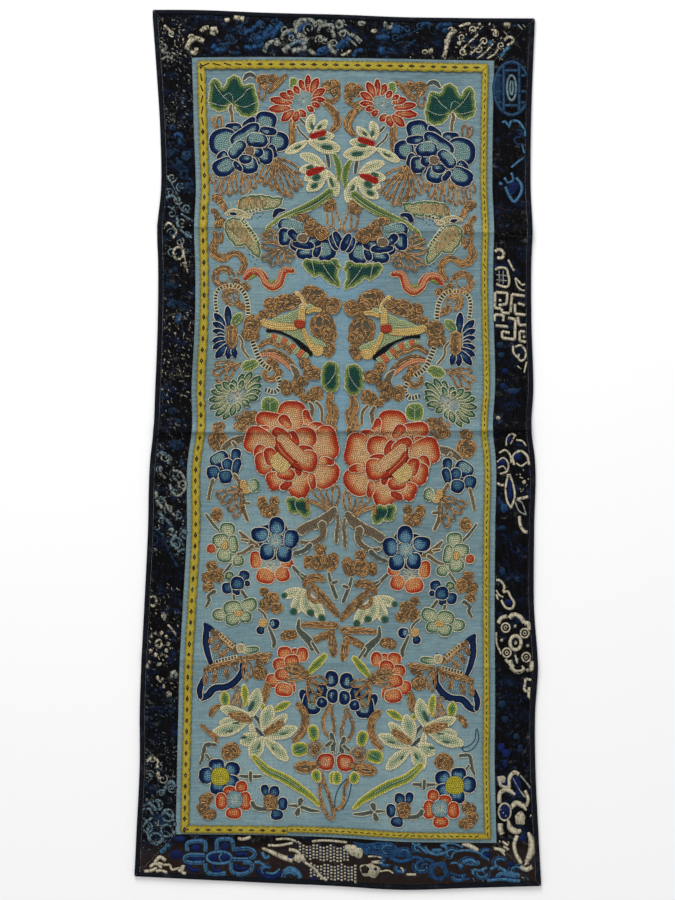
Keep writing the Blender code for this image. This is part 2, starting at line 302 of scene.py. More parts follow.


# A piece from arrays: points in millimetres, faces by number of corners, a colour for each point with any
# painted shade in it.
def toMesh(name, points, faceGroups, material, dye=None, crisp=None):
    mesh = bpy.data.meshes.new(name)
    corners = np.concatenate([np.asarray(group).ravel() for group in faceGroups])
    sizes = np.concatenate([np.full(len(group), len(group[0])) for group in faceGroups])
    mesh.vertices.add(len(points))
    mesh.vertices.foreach_set("co", (np.asarray(points) * mm).astype(np.float32).ravel())
    mesh.loops.add(len(corners))
    mesh.loops.foreach_set("vertex_index", corners.astype(np.int32))
    mesh.polygons.add(len(sizes))
    mesh.polygons.foreach_set("loop_start", np.concatenate([[0], np.cumsum(sizes)[:-1]]).astype(np.int32))
    mesh.update(calc_edges=True)
    mesh.shade_smooth()
    if dye is not None:
        colour = mesh.attributes.new("dye", "FLOAT_COLOR", "POINT")
        colour.data.foreach_set("color", np.asarray(dye, np.float32).ravel())
    if crisp is not None:
        mesh.set_sharp_from_angle(angle=np.radians(crisp))
    mesh.materials.append(material)
    piece = bpy.data.objects.new(name, mesh)
    bpy.context.scene.collection.objects.link(piece)
    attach(piece, "root")
    return piece


# A closed sheet over a grid of points: upper and under side follow the lift, walls close the edge.
def layCloth(name, grid, base, thick, material, node, drops=None,
             tone=None):
    first, second = grid[1, 0] - grid[0, 0], grid[0, 1] - grid[0, 0]
    if first[0] * second[1] - first[1] * second[0] > 0:
        grid = grid[:, ::-1]
    rows, columns = grid.shape[:2]
    under = liftAt(grid[..., 0], grid[..., 1]) + base
    fall = np.zeros(columns) if drops is None else drops
    points = np.concatenate([np.dstack([grid, under + thick - fall]).reshape(-1, 3),
                             np.dstack([grid, under]).reshape(-1, 3)])
    index = np.arange(rows * columns).reshape(rows, columns)
    quads = np.stack([index[:-1, :-1], index[:-1, 1:], index[1:, 1:], index[1:, :-1]], axis=-1).reshape(-1, 4)
    rim = np.concatenate([index[0, :], index[1:, -1], index[-1, -2::-1], index[-2:0:-1, 0]])
    following = np.roll(rim, -1)
    low = rows * columns
    walls = np.stack([rim, rim + low, following + low, following], axis=-1)
    # tone, where given, is painted light and shade across the sheet, kept at its points as their colour
    dye = None if tone is None else np.tile(np.dstack([tone] * 3 + [np.ones_like(tone)]).reshape(-1, 4),
                                            (2, 1))
    piece = toMesh(name, points, [np.concatenate([quads, quads[:, ::-1] + low, walls])], material, dye,
                   crisp=45)
    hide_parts(node)
    return piece


# Plain-weave light blue silk, soft and dull with age: threads too fine to show are drawn 0.9 mm apart.
def makeSilk():
    material, tree, shader, found = newMaterial("lightBlueSilk", {
        "warp": {"size": 0.9, "stretch": (1.0, 14.0, 1.0)},
        "weft": {"size": 0.9, "stretch": (14.0, 1.0, 1.0)},
        "grain": {"size": 1.1, "detail": 3.0, "roughness": 0.7}, "cloud": {"size": 34.0, "detail": 3.0},
        "wear": {"size": 7.0, "detail": 4.0, "roughness": 0.65},
    }, Roughness=0.78, Sheen_Weight=0.12, Sheen_Roughness=0.5)
    colour = "#587680"
    for grain, low, high, share, shade in silkFading:
        colour = coat(tree, colour, shade, (found[grain], low, high, 0.0, share))
    for x, y, radius, strength, shade in silkStains:
        ragged = {"From Min": 0.3, "From Max": 0.7, "To Min": -radius * mm / 4, "To Max": radius * mm / 4}
        rim = addNode(tree, "MapRange", ragged, {"Value": found["wear"]}).outputs["Result"]
        away = addNode(tree, "VectorMath", {1: (x * mm, y * mm, 0.0)}, {0: found["place"]},
                       operation="DISTANCE")
        away = addNode(tree, "Math", links={0: away.outputs["Value"], 1: rim}).outputs[0]
        colour = coat(tree, colour, shade, (away, radius * mm, 0.0, 0.0, strength))
    for grain, low, high, share, shade in silkThreads:
        colour = coat(tree, colour, shade, (found[grain], low, high, 0.0, share))
    weave = addNode(tree, "Math", links={0: found["warp"], 1: found["weft"]}, operation="ADD").outputs[0]
    toShader(tree, shader, colour, weave, 0.35)
    return material


# Coats on the silk's ground, under its stains and over them: noise, from and to what value, share, colour
silkFading = (
    ("cloud", 0.35, 0.68, 1.0, "#69868c"),
    ("wear", 0.56, 0.74, 0.4, "#839a98"),
    ("wear", 0.46, 0.3, 0.4, "#54727f"),
)
silkThreads = (
    ("warp", 0.3, 0.7, 0.34, "#435c64"),
    ("weft", 0.34, 0.7, 0.36, "#94aeac"),
    ("grain", 0.48, 0.7, 0.6, "#4a6674"),
)
# Marks on the silk: place, radius, strength and colour
silkStains = (
    (48.0, 122.0, 56.0, 0.8, "#3c5258"),
    (-62.0, 252.0, 72.0, 0.8, "#3a5460"),
    (64.0, 250.0, 72.0, 0.8, "#3a5460"),
    (4.0, 190.0, 60.0, 0.3, "#567080"),
    (56.0, -78.0, 56.0, 0.8, "#3a5056"),
    (-44.0, -66.0, 50.0, 0.6, "#8ba5a4"),
    (-48.0, -214.0, 62.0, 0.6, "#8ba5a6"),
    (50.0, -214.0, 62.0, 0.6, "#8ba5a6"),
    (-98.0, 60.0, 44.0, 0.7, "#3f5856"),
    (-12.0, -135.0, 17.0, 0.35, "#6f8478"),
    (2.0, 112.0, 44.0, 0.55, "#6596b8"),
    (2.0, 44.0, 50.0, 0.6, "#6596b8"),
    (30.0, -256.0, 2.6, 0.7, "#2c4a86"),
)


# Satin-ground brocade, near black, with faint twill lines, blue and grey threads worn to the surface, and
# browner along its foot.
def makeBrocade():
    material, tree, shader, found = newMaterial("darkBrocade", {
        "twill": {"size": 0.9, "stretch": (1.0, 12.0, 1.0), "turn": 0.75},
        "fleck": {"size": 3.2, "detail": 4.0, "stretch": (1.4, 1.0, 1.0), "roughness": 0.75},
        "blue": {"size": 9.0, "detail": 4.0, "stretch": (1.6, 1.0, 1.0), "turn": 0.5, "roughness": 0.7},
        "patch": {"size": 26.0},
    }, Roughness=0.85, Specular_IOR_Level=0.04)
    colour = coat(tree, "#060607", "#100f12", (found["twill"], 0.35, 0.7))
    colour = coat(tree, colour, "#13213a", (found["blue"], 0.5, 0.64), (found["fleck"], 0.42, 0.58))
    colour = coat(tree, colour, "#4a4b49", (found["fleck"], 0.56, 0.68), (found["patch"], 0.4, 0.62))
    upward = addNode(tree, "SeparateXYZ", links={0: found["place"]}).outputs["Y"]
    colour = coat(tree, colour, "#2c211b", (upward, -0.262, -0.272, 0.0, 0.6))
    toShader(tree, shader, colour, found["twill"], 0.4)
    return material


# Navy cotton tape, folded and matt, with fine cross ribs 0.9 mm apart and rubbed places.
def makeBinding():
    material, tree, shader, found = newMaterial("navyCottonBinding", {
        "rib": {"size": 0.9}, "worn": {"size": 5.0, "detail": 3.0},
    }, Roughness=0.9, Specular_IOR_Level=0.05)
    colour = coat(tree, "#0b0d12", "#171b22", (found["rib"], 0.3, 0.7))
    colour = coat(tree, colour, "#343b45", (found["worn"], 0.58, 0.75, 0.0, 0.4))
    toShader(tree, shader, colour, found["rib"])
    return material


# Golden yellow woven silk ribbon with cross ribs 0.8 mm apart, its colour multiplied by the piece's painted
# light
# and shade: a bright body, darker and olive towards both edges.
def makeRibbonWeave():
    material, tree, shader, found = newMaterial("goldenWovenRibbon", {
        "rib": {"size": 0.8}, "faded": {"size": 12.0, "detail": 3.0},
    }, dyed=True, Roughness=0.7, Specular_IOR_Level=0.25)
    colour = coat(tree, "#857520", "#ad9a28", (found["rib"], 0.3, 0.72))
    colour = coat(tree, colour, "#aba045", (found["faded"], 0.5, 0.75, 0.0, 0.5))
    colour = coat(tree, colour, found["dye"], blend="MULTIPLY")
    toShader(tree, shader, colour, found["rib"])
    return material


# Thread coloured by the piece's own dye with its painted shade and highlight, and a grain that makes it
# lighter
# and darker at random: silk dull, gilt a little metallic.
def makeThread(name, rough, metal=0.0, spread=0.2):
    material, tree, shader, found = newMaterial(name, {"grain": {"size": 0.8}}, dyed=True, Roughness=rough,
                                                Metallic=metal, Specular_IOR_Level=0.12 + metal)
    values = {"From Min": 0.3, "From Max": 0.7, "To Min": 1 - spread, "To Max": 1 + spread}
    value = addNode(tree, "MapRange", values, {"Value": found["grain"]}).outputs["Result"]
    shade = addNode(tree, "HueSaturation", {"Saturation": 1.0}, {"Color": found["dye"], "Value": value})
    toShader(tree, shader, shade.outputs["Color"])
    return material


# Brocade figures: weft floats in cream and blue, rubbed through so that the dark ground breaks them up. Their
# colour is the piece's dye with a light painted shade at the feet of strokes, and its alpha says how worn a
# figure is.
def makeWornFigure():
    material, tree, shader, found = newMaterial("wornBrocadeFigure", {
        "broken": {"size": 2.1, "detail": 4.0, "roughness": 0.75},
        "twill": {"size": 0.9, "stretch": (1.0, 5.0, 1.0), "turn": 0.75},
    }, dyed=True, Roughness=0.85, Specular_IOR_Level=0.05)
    left = addNode(tree, "Math", {1: -0.3}, {0: found["worn"], 2: found["broken"]}, operation="MULTIPLY_ADD")
    colour = coat(tree, "#0b0b0e", found["dye"], (left.outputs[0], 0.3, 0.42))
    colour = coat(tree, colour, "#1b1b20", (found["twill"], 0.4, 0.7, 0.0, 0.45))
    toShader(tree, shader, colour)
    return material


# Ribbons: outer edge from the border, width, lobe inside and outside, pitch of lobes
ribbonColumns = ("margin", "width", "lobeIn", "lobeOut", "pitch")
ribbonRows = {
    "Left": (3.5, 4.9, 0.8, 0.3, 7.6),
    "Top": (2.6, 5.2, 0.8, 0.3, 7.6),
    "BottomLeft": (1.2, 4.6, 0.6, 0.2, 7.6),
    "Right": (3.9, 3.9, 0.35, 0.1, 10.6),
    "BottomRight": (2.6, 3.9, 0.3, 0.1, 10.6),
}
ribbons = {name: dict(zip(ribbonColumns, row)) for name, row in ribbonRows.items()}
ribbonChange = -34.0  # x at which the bottom ribbon changes kind
ribbonShares = np.array((0.0, 0.12, 0.24, 0.5, 0.76, 0.88, 1.0))  # where its columns of points lie across it


# The two silk bands, from the seam in the middle to the border.
def layBands(rows, silk):
    half, shares = cloths["gap"] / 2, np.linspace(0.0, 1.0, 36)
    for side, sign in (("Left", -1.0), ("Right", 1.0)):
        seam, edge = longLine("seam", sign * half), longLine("field" + side, -sign * half)
        low, high = shortLine("fieldBottom", half), shortLine("fieldTop", -half)
        ends = [(crossing(seam, line, start), crossing(edge, line, start))
                for line, start in ((low, fieldBottom), (high, fieldTop))]
        points = longStrip(rows, seam, edge, *ends, shares)
        for k, line in ((0, low), (-1, high)):
            points[k, :, 1] = line(points[k, :, 0])
        layCloth("silkBand" + side, points, 0.0, cloths["band"], silk, f"band_{side.lower()}")


# Moves a ribbon's two edges out by one lobe for each pitch along it: the size of a sine of the way along.
def scallop(points, row, axis):
    away = np.sign(points[0, -1, 1 - axis] - points[0, 0, 1 - axis])
    run = np.abs(points[:, 0, axis] - points[0, 0, axis])
    wave = np.abs(np.sin(np.pi * run / row["pitch"]))
    wave[[0, -1]] = 0.0
    points[:, 0, 1 - axis] -= away * row["lobeIn"] * wave
    points[:, -1, 1 - axis] += away * row["lobeOut"] * wave
    share = ribbonShares[None, :, None]
    return points[:, :1] * (1 - share) + points[:, -1:] * share


# Light and shade across a ribbon: olive selvedges with dark notches, a bright body.
def ribbonTone(count):
    tone = np.tile(np.array((0.5, 0.72, 0.98, 1.05, 0.98, 0.72, 0.5)), (count, 1))
    notch = draw.random((count, 2)) < 0.22
    tone[:, 0] *= np.where(notch[:, 0], 0.35, draw.uniform(0.8, 1.3, count))
    tone[:, -1] *= np.where(notch[:, 1], 0.35, draw.uniform(0.8, 1.3, count))
    tone[:, 1] *= draw.uniform(0.85, 1.15, count)
    tone[:, -2] *= draw.uniform(0.85, 1.15, count)
    return tone


# The five ribbons on the bands, mitred at the corners, butted where the kind changes.
def layRibbons(weave):
    base, least = cloths["band"] + cloths["gap"], cloths["leastWidth"]
    drops = np.array((0.35, 0.15, 0.04, 0.0, 0.04, 0.15, 0.35))

    # A ribbon's inner and outer edge, as lines
    def edges(name, kind, sign):
        row, line = ribbons[name], longLine if kind in ("Left", "Right") else shortLine
        insets = row["margin"] + row["width"], row["margin"]
        return [line("field" + kind, sign * inset) for inset in insets]

    mitre = {}
    for side, end, name in (("Left", "Bottom", "BottomLeft"), ("Left", "Top", "Top"),
                            ("Right", "Bottom", "BottomRight"), ("Right", "Top", "Top")):
        toward = np.array((1.0 if side == "Left" else -1.0, 1.0 if end == "Bottom" else -1.0))
        pairs = zip(edges(side, side, toward[0]), edges(name, end, toward[1]))
        for k, (longEdge, shortEdge) in enumerate(pairs):
            point = crossing(longEdge, shortEdge, fieldBottom if end == "Bottom" else fieldTop)
            mitre[side, end, "long", k] = point + toward * (0.0, cloths["mitre"])
            mitre[side, end, "short", k] = point + toward * (cloths["mitre"], 0.0)

    # The two corners of a ribbon's end
    def pair(side, end, kind):
        return mitre[side, end, kind, 0], mitre[side, end, kind, 1]

    for side, sign in (("Left", 1.0), ("Right", -1.0)):
        row = ribbons[side]
        ends = pair(side, "Bottom", "long"), pair(side, "Top", "long")
        points = longStrip(rowPlaces(1.3), *edges(side, side, sign), *ends, ribbonShares)
        layCloth("goldRibbon" + side, scallop(points, row, 1), base, cloths["ribbon"], weave,
                 "ribbon_" + side.lower(), drops,
                 ribbonTone(len(points)))
    change = [np.array((ribbonChange + shift, 0.0)) for shift in (-cloths["gap"], cloths["gap"])]
    runs = (
        ("Top", "Top", -1.0, pair("Left", "Top", "short"), pair("Right", "Top", "short"), 195.0),
        ("BottomLeft", "Bottom", 1.0, pair("Left", "Bottom", "short"), (change[0], change[0]), 70.0),
        ("BottomRight", "Bottom", 1.0, (change[1], change[1]), pair("Right", "Bottom", "short"), 137.0),
    )
    for name, end, sign, left, right, length in runs:
        row = ribbons[name]
        points = shortStrip(*edges(name, end, sign), left, right, ribbonShares, 1.3)
        node = "ribbon_" + {"Top": "top", "BottomLeft": "bottom_left", "BottomRight": "bottom_right"}[name]
        layCloth("goldRibbon" + name, scallop(points, row, 0), base, cloths["ribbon"], weave, node,
                 drops,
                 ribbonTone(len(points)))


# The brocade border and the folded binding outside it, four mitred strips each.
def layFrame(rows, brocade, tape):
    half = cloths["gap"] / 2
    seam = cloths["bindingWidth"] + half
    for side, points in frameStrips(None, seam + half, np.linspace(0, 1, 9), rows, cloths["mitre"]):
        layCloth("brocadeBorder" + side, points, 0.0, cloths["border"], brocade,
                 f"border_{side.lower()}")
    shares = np.linspace(0.0, 1.0, 7)
    drops = 0.7 * np.abs(2 * shares - 1) ** 3
    for side, points in frameStrips(seam - half, 0.0, shares, rows, cloths["mitre"]):
        layCloth("navyBinding" + side, points, 0.0, cloths["binding"], tape,
                 f"binding_{side.lower()}", drops)


# Pale floor, soft light mainly from the photo's top, and a camera straight above at the photo's scale.
def makeStage():
    bpy.ops.mesh.primitive_plane_add(size=4.0, location=(0, 0, -0.0002))
    floor = bpy.context.object
    floor.name = "floor"
    paper = newMaterial("whitePaper", {}, Base_Color=(0.95, 0.95, 0.95, 1), Roughness=0.95)[0]
    floor.data.materials.append(paper)
    world = bpy.data.worlds.new("softRoom")
    bpy.context.scene.world = world
    world.use_nodes = True
    world.node_tree.nodes["Background"].inputs["Color"].default_value = (1, 1, 1, 1)
    world.node_tree.nodes["Background"].inputs["Strength"].default_value = lights["room"]
    for name, place, size, power in lights["lamps"]:
        lamp = bpy.data.objects.new(name, bpy.data.lights.new(name, "AREA"))
        lamp.data.shape, lamp.data.size, lamp.data.energy = "SQUARE", size, power
        lamp.location = place
        lamp.rotation_euler = look(place)
        bpy.context.scene.collection.objects.link(lamp)
    camera = bpy.data.objects.new("camera", bpy.data.cameras.new("camera"))
    camera.data.lens, camera.data.sensor_width = photo["lens"], photo["sensor"]
    span = photo["height"] * photo["mmPerPixel"] * mm
    camera.location = (photo["centre"][0] * mm, photo["centre"][1] * mm,
                       span * photo["lens"] / photo["sensor"])
    bpy.context.scene.collection.objects.link(camera)
    bpy.context.scene.camera = camera
    bpy.context.scene.view_settings.view_transform = "Standard"


# The turn that points a lamp at the panel's middle.
def look(place):
    return (-Vector(place)).to_track_quat("-Z", "Y").to_euler()


# The room's even light, and each lamp's name, place, size and power
lights = {
    "room": 0.62,
    "lamps": (("keyTop", (-0.35, 1.5, 1.0), 0.9, 25.0), ("fillLow", (0.3, -1.4, 1.6), 1.6, 4.0)),
}

# Embroidery sizes: knots, their pads, outline cord, gilt thread, and the cells that settle what covers what
stitch = {"knotApart": 1.3, "knotRadius": 0.53, "knotHigh": 0.62, "padHigh": 0.12, "layer": 0.06, "cell": 0.4,
          "cordHalf": 0.36, "cordHigh": 0.5, "cordStep": 1.15, "giltHalf": 0.37, "giltHigh": 0.55,
          "giltApart": 0.92, "firstRow": 0.62, "rowShare": 0.9, "jitter": 0.07, "hiddenNear": 0.42,
          "padDeep": 0.9}
allRings = 40  # more rows than any form has room for
# Painted shade and highlight, as shares of the dye's brightness: a thread's darker feet and lighter crest, a
# knot's darker rim, lighter top and dark foot, and the darker padding
paintedShading = {"foot": 0.42, "crest": 1.2, "knotRim": 0.72, "knotTop": 1.22, "knotFoot": 0.4, "pad": 0.5}
fieldCorner = np.array((-112.0, -268.0))
fieldCells = (round(536 / stitch["cell"]), round(224 / stitch["cell"]))
orderMap = np.full(fieldCells, -1)
levelMap = np.zeros(fieldCells, int)
forms, threads = [], []
placing = {"shift": (0.0, 0.0), "sides": ("Left", "Right")}
draw = np.random.default_rng(11)


# Photo pixels, across and down, as the panel's millimetres.
def onPanel(points):
    points = np.asarray(points, float).reshape(-1, 2)
    across, down = photo["origin"]
    return np.stack([(points[:, 0] - across) * pixel, (down - points[:, 1]) * pixel], axis=1)


# Places on the left half carried to the right one: mirrored on the seam, spread to its width and its length,
# and moved by the motif's own shift, because the two halves weren't sewn quite alike.
def toRight(points):
    x, y = np.asarray(points, float).T
    seam = longLine("seam")(y)
    wide = (longLine("fieldRight")(y) - seam) / (seam - longLine("fieldLeft")(y))
    across = seam + (seam - x) * wide
    ends = [(shortLine("fieldBottom")(v), shortLine("fieldTop")(v)) for v in (x, across)]
    up = (y - ends[0][0]) / (ends[0][1] - ends[0][0])
    high = ends[1][0] + up * (ends[1][1] - ends[1][0])
    return np.stack([across + placing["shift"][0], high + placing["shift"][1]], axis=1)


# A smooth line through points, its own about step apart. At each point it runs as the line from the point
# before to the one after.
def curve(points, step=0.8, closed=False):
    p = np.asarray(points, float)
    p = np.concatenate([p[-1:], p, p[:2]] if closed else [2 * p[:1] - p[1:2], p, 2 * p[-1:] - p[-2:-1]])
    pieces = []
    for a, b, c, d in zip(p, p[1:], p[2:], p[3:]):
        t = np.linspace(0, 1, max(2, round(np.linalg.norm(c - b) / step)), endpoint=False)[:, None]
        pieces.append(0.5 * (2 * b + (c - a) * t + (2 * a - 5 * b + 4 * c - d) * t * t
                             + (3 * b - a - 3 * c + d) * t ** 3))
    return np.concatenate(pieces + ([] if closed else [p[-2:-1]]))


# The same line with its points an equal distance apart.
def evenly(points, step, closed=False):
    p = np.concatenate([points, points[:1]]) if closed else points
    run = np.concatenate([[0], np.cumsum(np.linalg.norm(np.diff(p, axis=0), axis=1))])
    places = np.linspace(0, run[-1], max(3 if closed else 2, round(run[-1] / step)) + 1)
    even = np.stack([np.interp(places, run, p[:, k]) for k in (0, 1)], axis=1)
    return even[:-1] if closed else even


# Unit normals to the left of a line.
def sides(line):
    onward = np.gradient(line, axis=0)
    onward /= np.maximum(np.linalg.norm(onward, axis=1), 1e-9)[:, None]
    return np.stack([-onward[:, 1], onward[:, 0]], axis=1)


# A petal's outline: a full oval with a few soft lobes.
def petal(x, y, wide, high, turn=0.0, lobes=0, wave=0.07):
    a = np.linspace(0, 2 * np.pi, 48, endpoint=False)
    r = (np.abs(np.cos(a) / wide * 2) ** 2.5 + np.abs(np.sin(a) / high * 2) ** 2.5) ** (-1 / 2.5)
    r *= (1 + wave * np.cos(lobes * a + draw.uniform(0, 6)) * (lobes > 0)
          + 0.03 * np.cos(3 * a + draw.uniform(0, 6)))
    c, s = np.cos(np.radians(turn)), np.sin(np.radians(turn))
    px, py = r * np.cos(a), r * np.sin(a)
    return np.stack([x + px * c - py * s, y + px * s + py * c], axis=1)


# The outline of a band that follows points, as wide at each of them as widths says.
def stripOf(points, widths):
    line = evenly(curve(points, 0.6), 0.8)
    share = np.linspace(0, 1, len(line))
    half = np.interp(share, np.linspace(0, 1, len(widths)), widths)[:, None] / 2
    across = sides(line) * half
    ends = [line[:1] - (line[1:2] - line[:1]) * half[:1] * 0.9,
            line[-1:] + (line[-1:] - line[-2:-1]) * half[-1:] * 0.9]
    return np.concatenate([line + across, ends[1], (line - across)[::-1], ends[0]])


# A form sewn over what is there, in each half: pad, knots whose colour goes by their depth from the rim, and
# a cord round it. Towards tip the rim is full, and fade millimetres in on the other side.
def sew(outline, colours, tip=None, fade=0.0, edge="cream", fill="knots", rings=allRings):
    for side in placing["sides"]:
        line = outline if side == "Left" else toRight(outline)
        x, y = line.T
        if (x * np.roll(y, -1) - np.roll(x, -1) * y).sum() < 0:
            line = line[::-1]
        lean = tip if side == "Left" or tip is None else np.pi - tip
        forms.append({"line": evenly(line, 0.7, True), "colours": colours, "tip": lean, "fade": fade,
                      "fill": fill, "edge": edge, "order": len(forms), "side": side, "rings": rings})


# A thread laid along a line in each half, over the forms sewn so far.
def lay(line, colour, half=None, high=None, step=None):
    for side in placing["sides"]:
        path = np.asarray(line, float) if side == "Left" else toRight(line)
        threads.append({"line": evenly(path, step or stitch["cordStep"]), "colour": colour, "closed": False,
                        "half": half or stitch["cordHalf"], "high": high or stitch["cordHigh"],
                        "order": len(forms), "side": side})


# The map cells at points, kept inside the map.
def cellsOf(points):
    at = ((points[..., ::-1] - fieldCorner[::-1]) / stitch["cell"]).astype(int)
    return tuple(np.clip(at[..., k], 0, fieldCells[k] - 1) for k in (0, 1))


# Which points lie in a closed outline: those with an odd number of edges to their right.
def inside(line, points):
    a, b = line, np.roll(line, -1, axis=0)
    px, py = points[:, None, 0], points[:, None, 1]
    spans = (a[None, :, 1] > py) != (b[None, :, 1] > py)
    flat = np.where(np.abs(b[:, 1] - a[:, 1]) < 1e-9, 1e-9, b[:, 1] - a[:, 1])
    return ((spans & (px < a[:, 0] + (py - a[:, 1]) * (b[:, 0] - a[:, 0]) / flat)).sum(1) % 2) == 1


# Marks each form's cells in sewing order: the last one wins, and stands a layer above what it covers.
def paintMaps():
    for form in forms:
        low, high = cellsOf(form["line"].min(0)), cellsOf(form["line"].max(0))
        rowsAt, columnsAt = (place.ravel() for place in np.mgrid[low[0]:high[0] + 1, low[1]:high[1] + 1])
        middles = np.stack([columnsAt + 0.5, rowsAt + 0.5], axis=1) * stitch["cell"] + fieldCorner
        held = inside(form["line"], middles)
        cells = rowsAt[held], columnsAt[held]
        form["level"] = 1 + (int(levelMap[cells].max()) if held.any() else 0)
        levelMap[cells] = form["level"]
        orderMap[cells] = form["order"]


# Which points something later covers, with a margin round each.
def covered(points, order, margin=0.0):
    hidden = orderMap[cellsOf(points)] > order
    for dx, dy in ((1, 0), (-1, 0), (0, 1), (0, -1)) if margin else ():
        hidden |= orderMap[cellsOf(points + np.array((dx, dy)) * margin)] > order
    return hidden


# The stretches of a line where seen holds, as indices, and whether the whole loop is one of them.
def runsOf(seen, closed):
    if seen.all():
        return [np.arange(len(seen))], closed
    order = np.roll(np.arange(len(seen)), -int(np.argmin(seen)) if closed else 0)
    runs, run = [], []
    for k in order:
        if seen[k]:
            run.append(k)
        elif run:
            runs.append(run)
            run = []
    runs += [run] if run else []
    return [np.array(r) for r in runs if len(r) > 1], False


# A form's rim moved inwards by depth, as the stretches that stay clear of the rest of the rim.
def insetRuns(form, depth, step):
    line = evenly(form["line"], 0.45, True)
    inward = sides(np.concatenate([line[-2:], line, line[:2]]))[2:-2]
    there = line + inward * depth
    gap = np.linalg.norm(there[:, None] - line[None], axis=2).min(1)
    runs, whole = runsOf(gap > depth - 0.1, True)
    return [evenly(there[run], step, whole) for run in runs], whole


# Depths seen from the side on which a form's rim is full: fade millimetres more on the other side.
def depthAt(form, places, depths):
    if form["tip"] is None:
        return depths
    away = places - form["line"].mean(0)
    facing = np.cos(np.arctan2(away[:, 1], away[:, 0]) - form["tip"])
    return depths + form["fade"] * ((1 - facing) / 2) ** 1.3


# Rows of knots that follow a form's rim inwards, as places and depths. Knots that would crowd are left out.
def knotsIn(form):
    apart, taken, places, depths = stitch["knotApart"], {}, [], []
    for row in range(allRings):
        depth = (row + stitch["firstRow"]) * apart * stitch["rowShare"]
        runs, _ = insetRuns(form, depth, apart)
        if not runs:
            break
        spots = np.concatenate(runs)
        for x, y in spots + draw.uniform(-stitch["jitter"], stitch["jitter"], spots.shape):
            cx, cy = int(x // apart), int(y // apart)
            near = [q for i in (-1, 0, 1) for j in (-1, 0, 1) for q in taken.get((cx + i, cy + j), ())]
            if all(abs(x - u) + abs(y - v) > apart or np.hypot(x - u, y - v) > apart * 0.8 for u, v in near):
                taken.setdefault((cx, cy), []).append((x, y))
                places.append((x, y))
                depths.append(depth)
    return np.array(places).reshape(-1, 2), np.array(depths)


# Linear colours at depths, from a form's table of depth and hex colour.
def dyeAt(colours, depth):
    table = np.array([hexColour(code)[:3] for _, code in colours])
    at = [place for place, _ in colours]
    return np.stack([np.interp(depth, at, table[:, k]) for k in range(3)], axis=1)


# Height of the silk's face.
def surface(points):
    return liftAt(points[:, 0], points[:, 1]) + cloths["band"]


# Adds points, their colours and faces to a heap that becomes one joined mesh.
def addParts(heap, points, dye, *faces):
    for group in faces:
        if len(group):
            heap["faces"].setdefault(len(group[0]), []).append(np.asarray(group) + heap["count"])
    heap["points"].append(points)
    heap["dye"].append(dye if dye.shape[1] == 4 else np.column_stack([dye, np.ones(len(dye))]))
    heap["count"] += len(points)


# An empty heap: points, their colours with any painted shade, and faces by number of corners.
def newHeap():
    return {"points": [], "dye": [], "faces": {}, "count": 0}


# The joined mesh of a heap.
def heapMesh(name, heap, material):
    groups = [np.concatenate(heap["faces"][k]) for k in sorted(heap["faces"])]
    piece = toMesh(name, np.concatenate(heap["points"]), groups, material, np.concatenate(heap["dye"]))
    print(name, sum(len(g) * (g.shape[1] - 2) for g in groups), "triangles")
    return piece


# A thread with a three-sided section: two feet at foot, a rounded-looking top above them. Its colour carries
# painted shade on the feet and a painted highlight on the top.
def addRidge(heap, line, foot, half, high, dye, closed, footShade=None):
    count = len(line)
    across = sides(np.concatenate([line[-2:], line, line[:2]]))[2:-2] if closed else sides(line)
    across = across * (half if np.isscalar(half) else np.asarray(half)[:, None])
    top = foot + high
    points = np.stack([np.column_stack([line + across, foot]), np.column_stack([line - across, foot]),
                       np.column_stack([line, top])], axis=1).reshape(-1, 3)
    i = np.arange(count if closed else count - 1) * 3
    j = (i + 3) % (3 * count)
    quads = np.concatenate([np.stack([i, i + 2, j + 2, j], axis=1),
                            np.stack([i + 1, j + 1, j + 2, i + 2], axis=1),
                            np.stack([i, j, j + 1, i + 1], axis=1)])
    last = 3 * (count - 1)
    caps = [] if closed else [(0, 1, 2), (last, last + 2, last + 1)]
    low = footShade or paintedShading["foot"]
    shade = np.tile((low, low, paintedShading["crest"]), count)[:, None]
    dye = np.repeat(dye, 3, axis=0)
    dye[:, :3] = np.clip(dye[:, :3] * shade, 0, 1)
    addParts(heap, points, dye, quads, caps)


# Knots: six-sided beads, wide low down and darker there with painted shade, lighter on top with a painted
# highlight, each turned its own way.
def addKnots(heap, places, foot, radius, high, dye):
    count, turns, k = len(places), draw.uniform(0, 2, len(places)), np.arange(6)
    radius = radius * draw.uniform(0.9, 1.1, (count, 1))
    a = turns[:, None] + k * 2 * np.pi / 6
    ring = np.dstack([places[:, :1] + radius * np.cos(a), places[:, 1:] + radius * np.sin(a),
                      np.repeat((foot + high * 0.3)[:, None], 6, axis=1)])
    top = np.column_stack([places, foot + high])[:, None]
    low = np.column_stack([places, foot - 0.1])[:, None]
    points = np.concatenate([ring, top, low], axis=1).reshape(-1, 3)
    one = np.concatenate([np.stack([k, (k + 1) % 6, np.full(6, 6)], axis=1),
                          np.stack([(k + 1) % 6, k, np.full(6, 7)], axis=1)])
    faces = (one[None] + 8 * np.arange(count)[:, None, None]).reshape(-1, 3)
    shade = np.tile([paintedShading["knotRim"]] * 6 + [paintedShading["knotTop"], paintedShading["knotFoot"]], count)[:, None]
    addParts(heap, points, np.clip(np.repeat(dye, 8, axis=0) * shade, 0, 1), faces)


# Triangles over points whose first rim ones are the outline, all counter-clockwise.
def facesOf(points, rim):
    made = delaunay_2d_cdt([Vector(p) for p in points.tolist()], [], [list(range(rim))], 1, 1e-5)
    flat, faces = np.array([tuple(v) for v in made[0]]), np.array(list(made[2]))
    ab, ac = flat[faces[:, 1]] - flat[faces[:, 0]], flat[faces[:, 2]] - flat[faces[:, 0]]
    wrong = ab[:, 0] * ac[:, 1] - ab[:, 1] * ac[:, 0] < 0
    faces[wrong] = faces[wrong][:, ::-1]
    return flat, faces
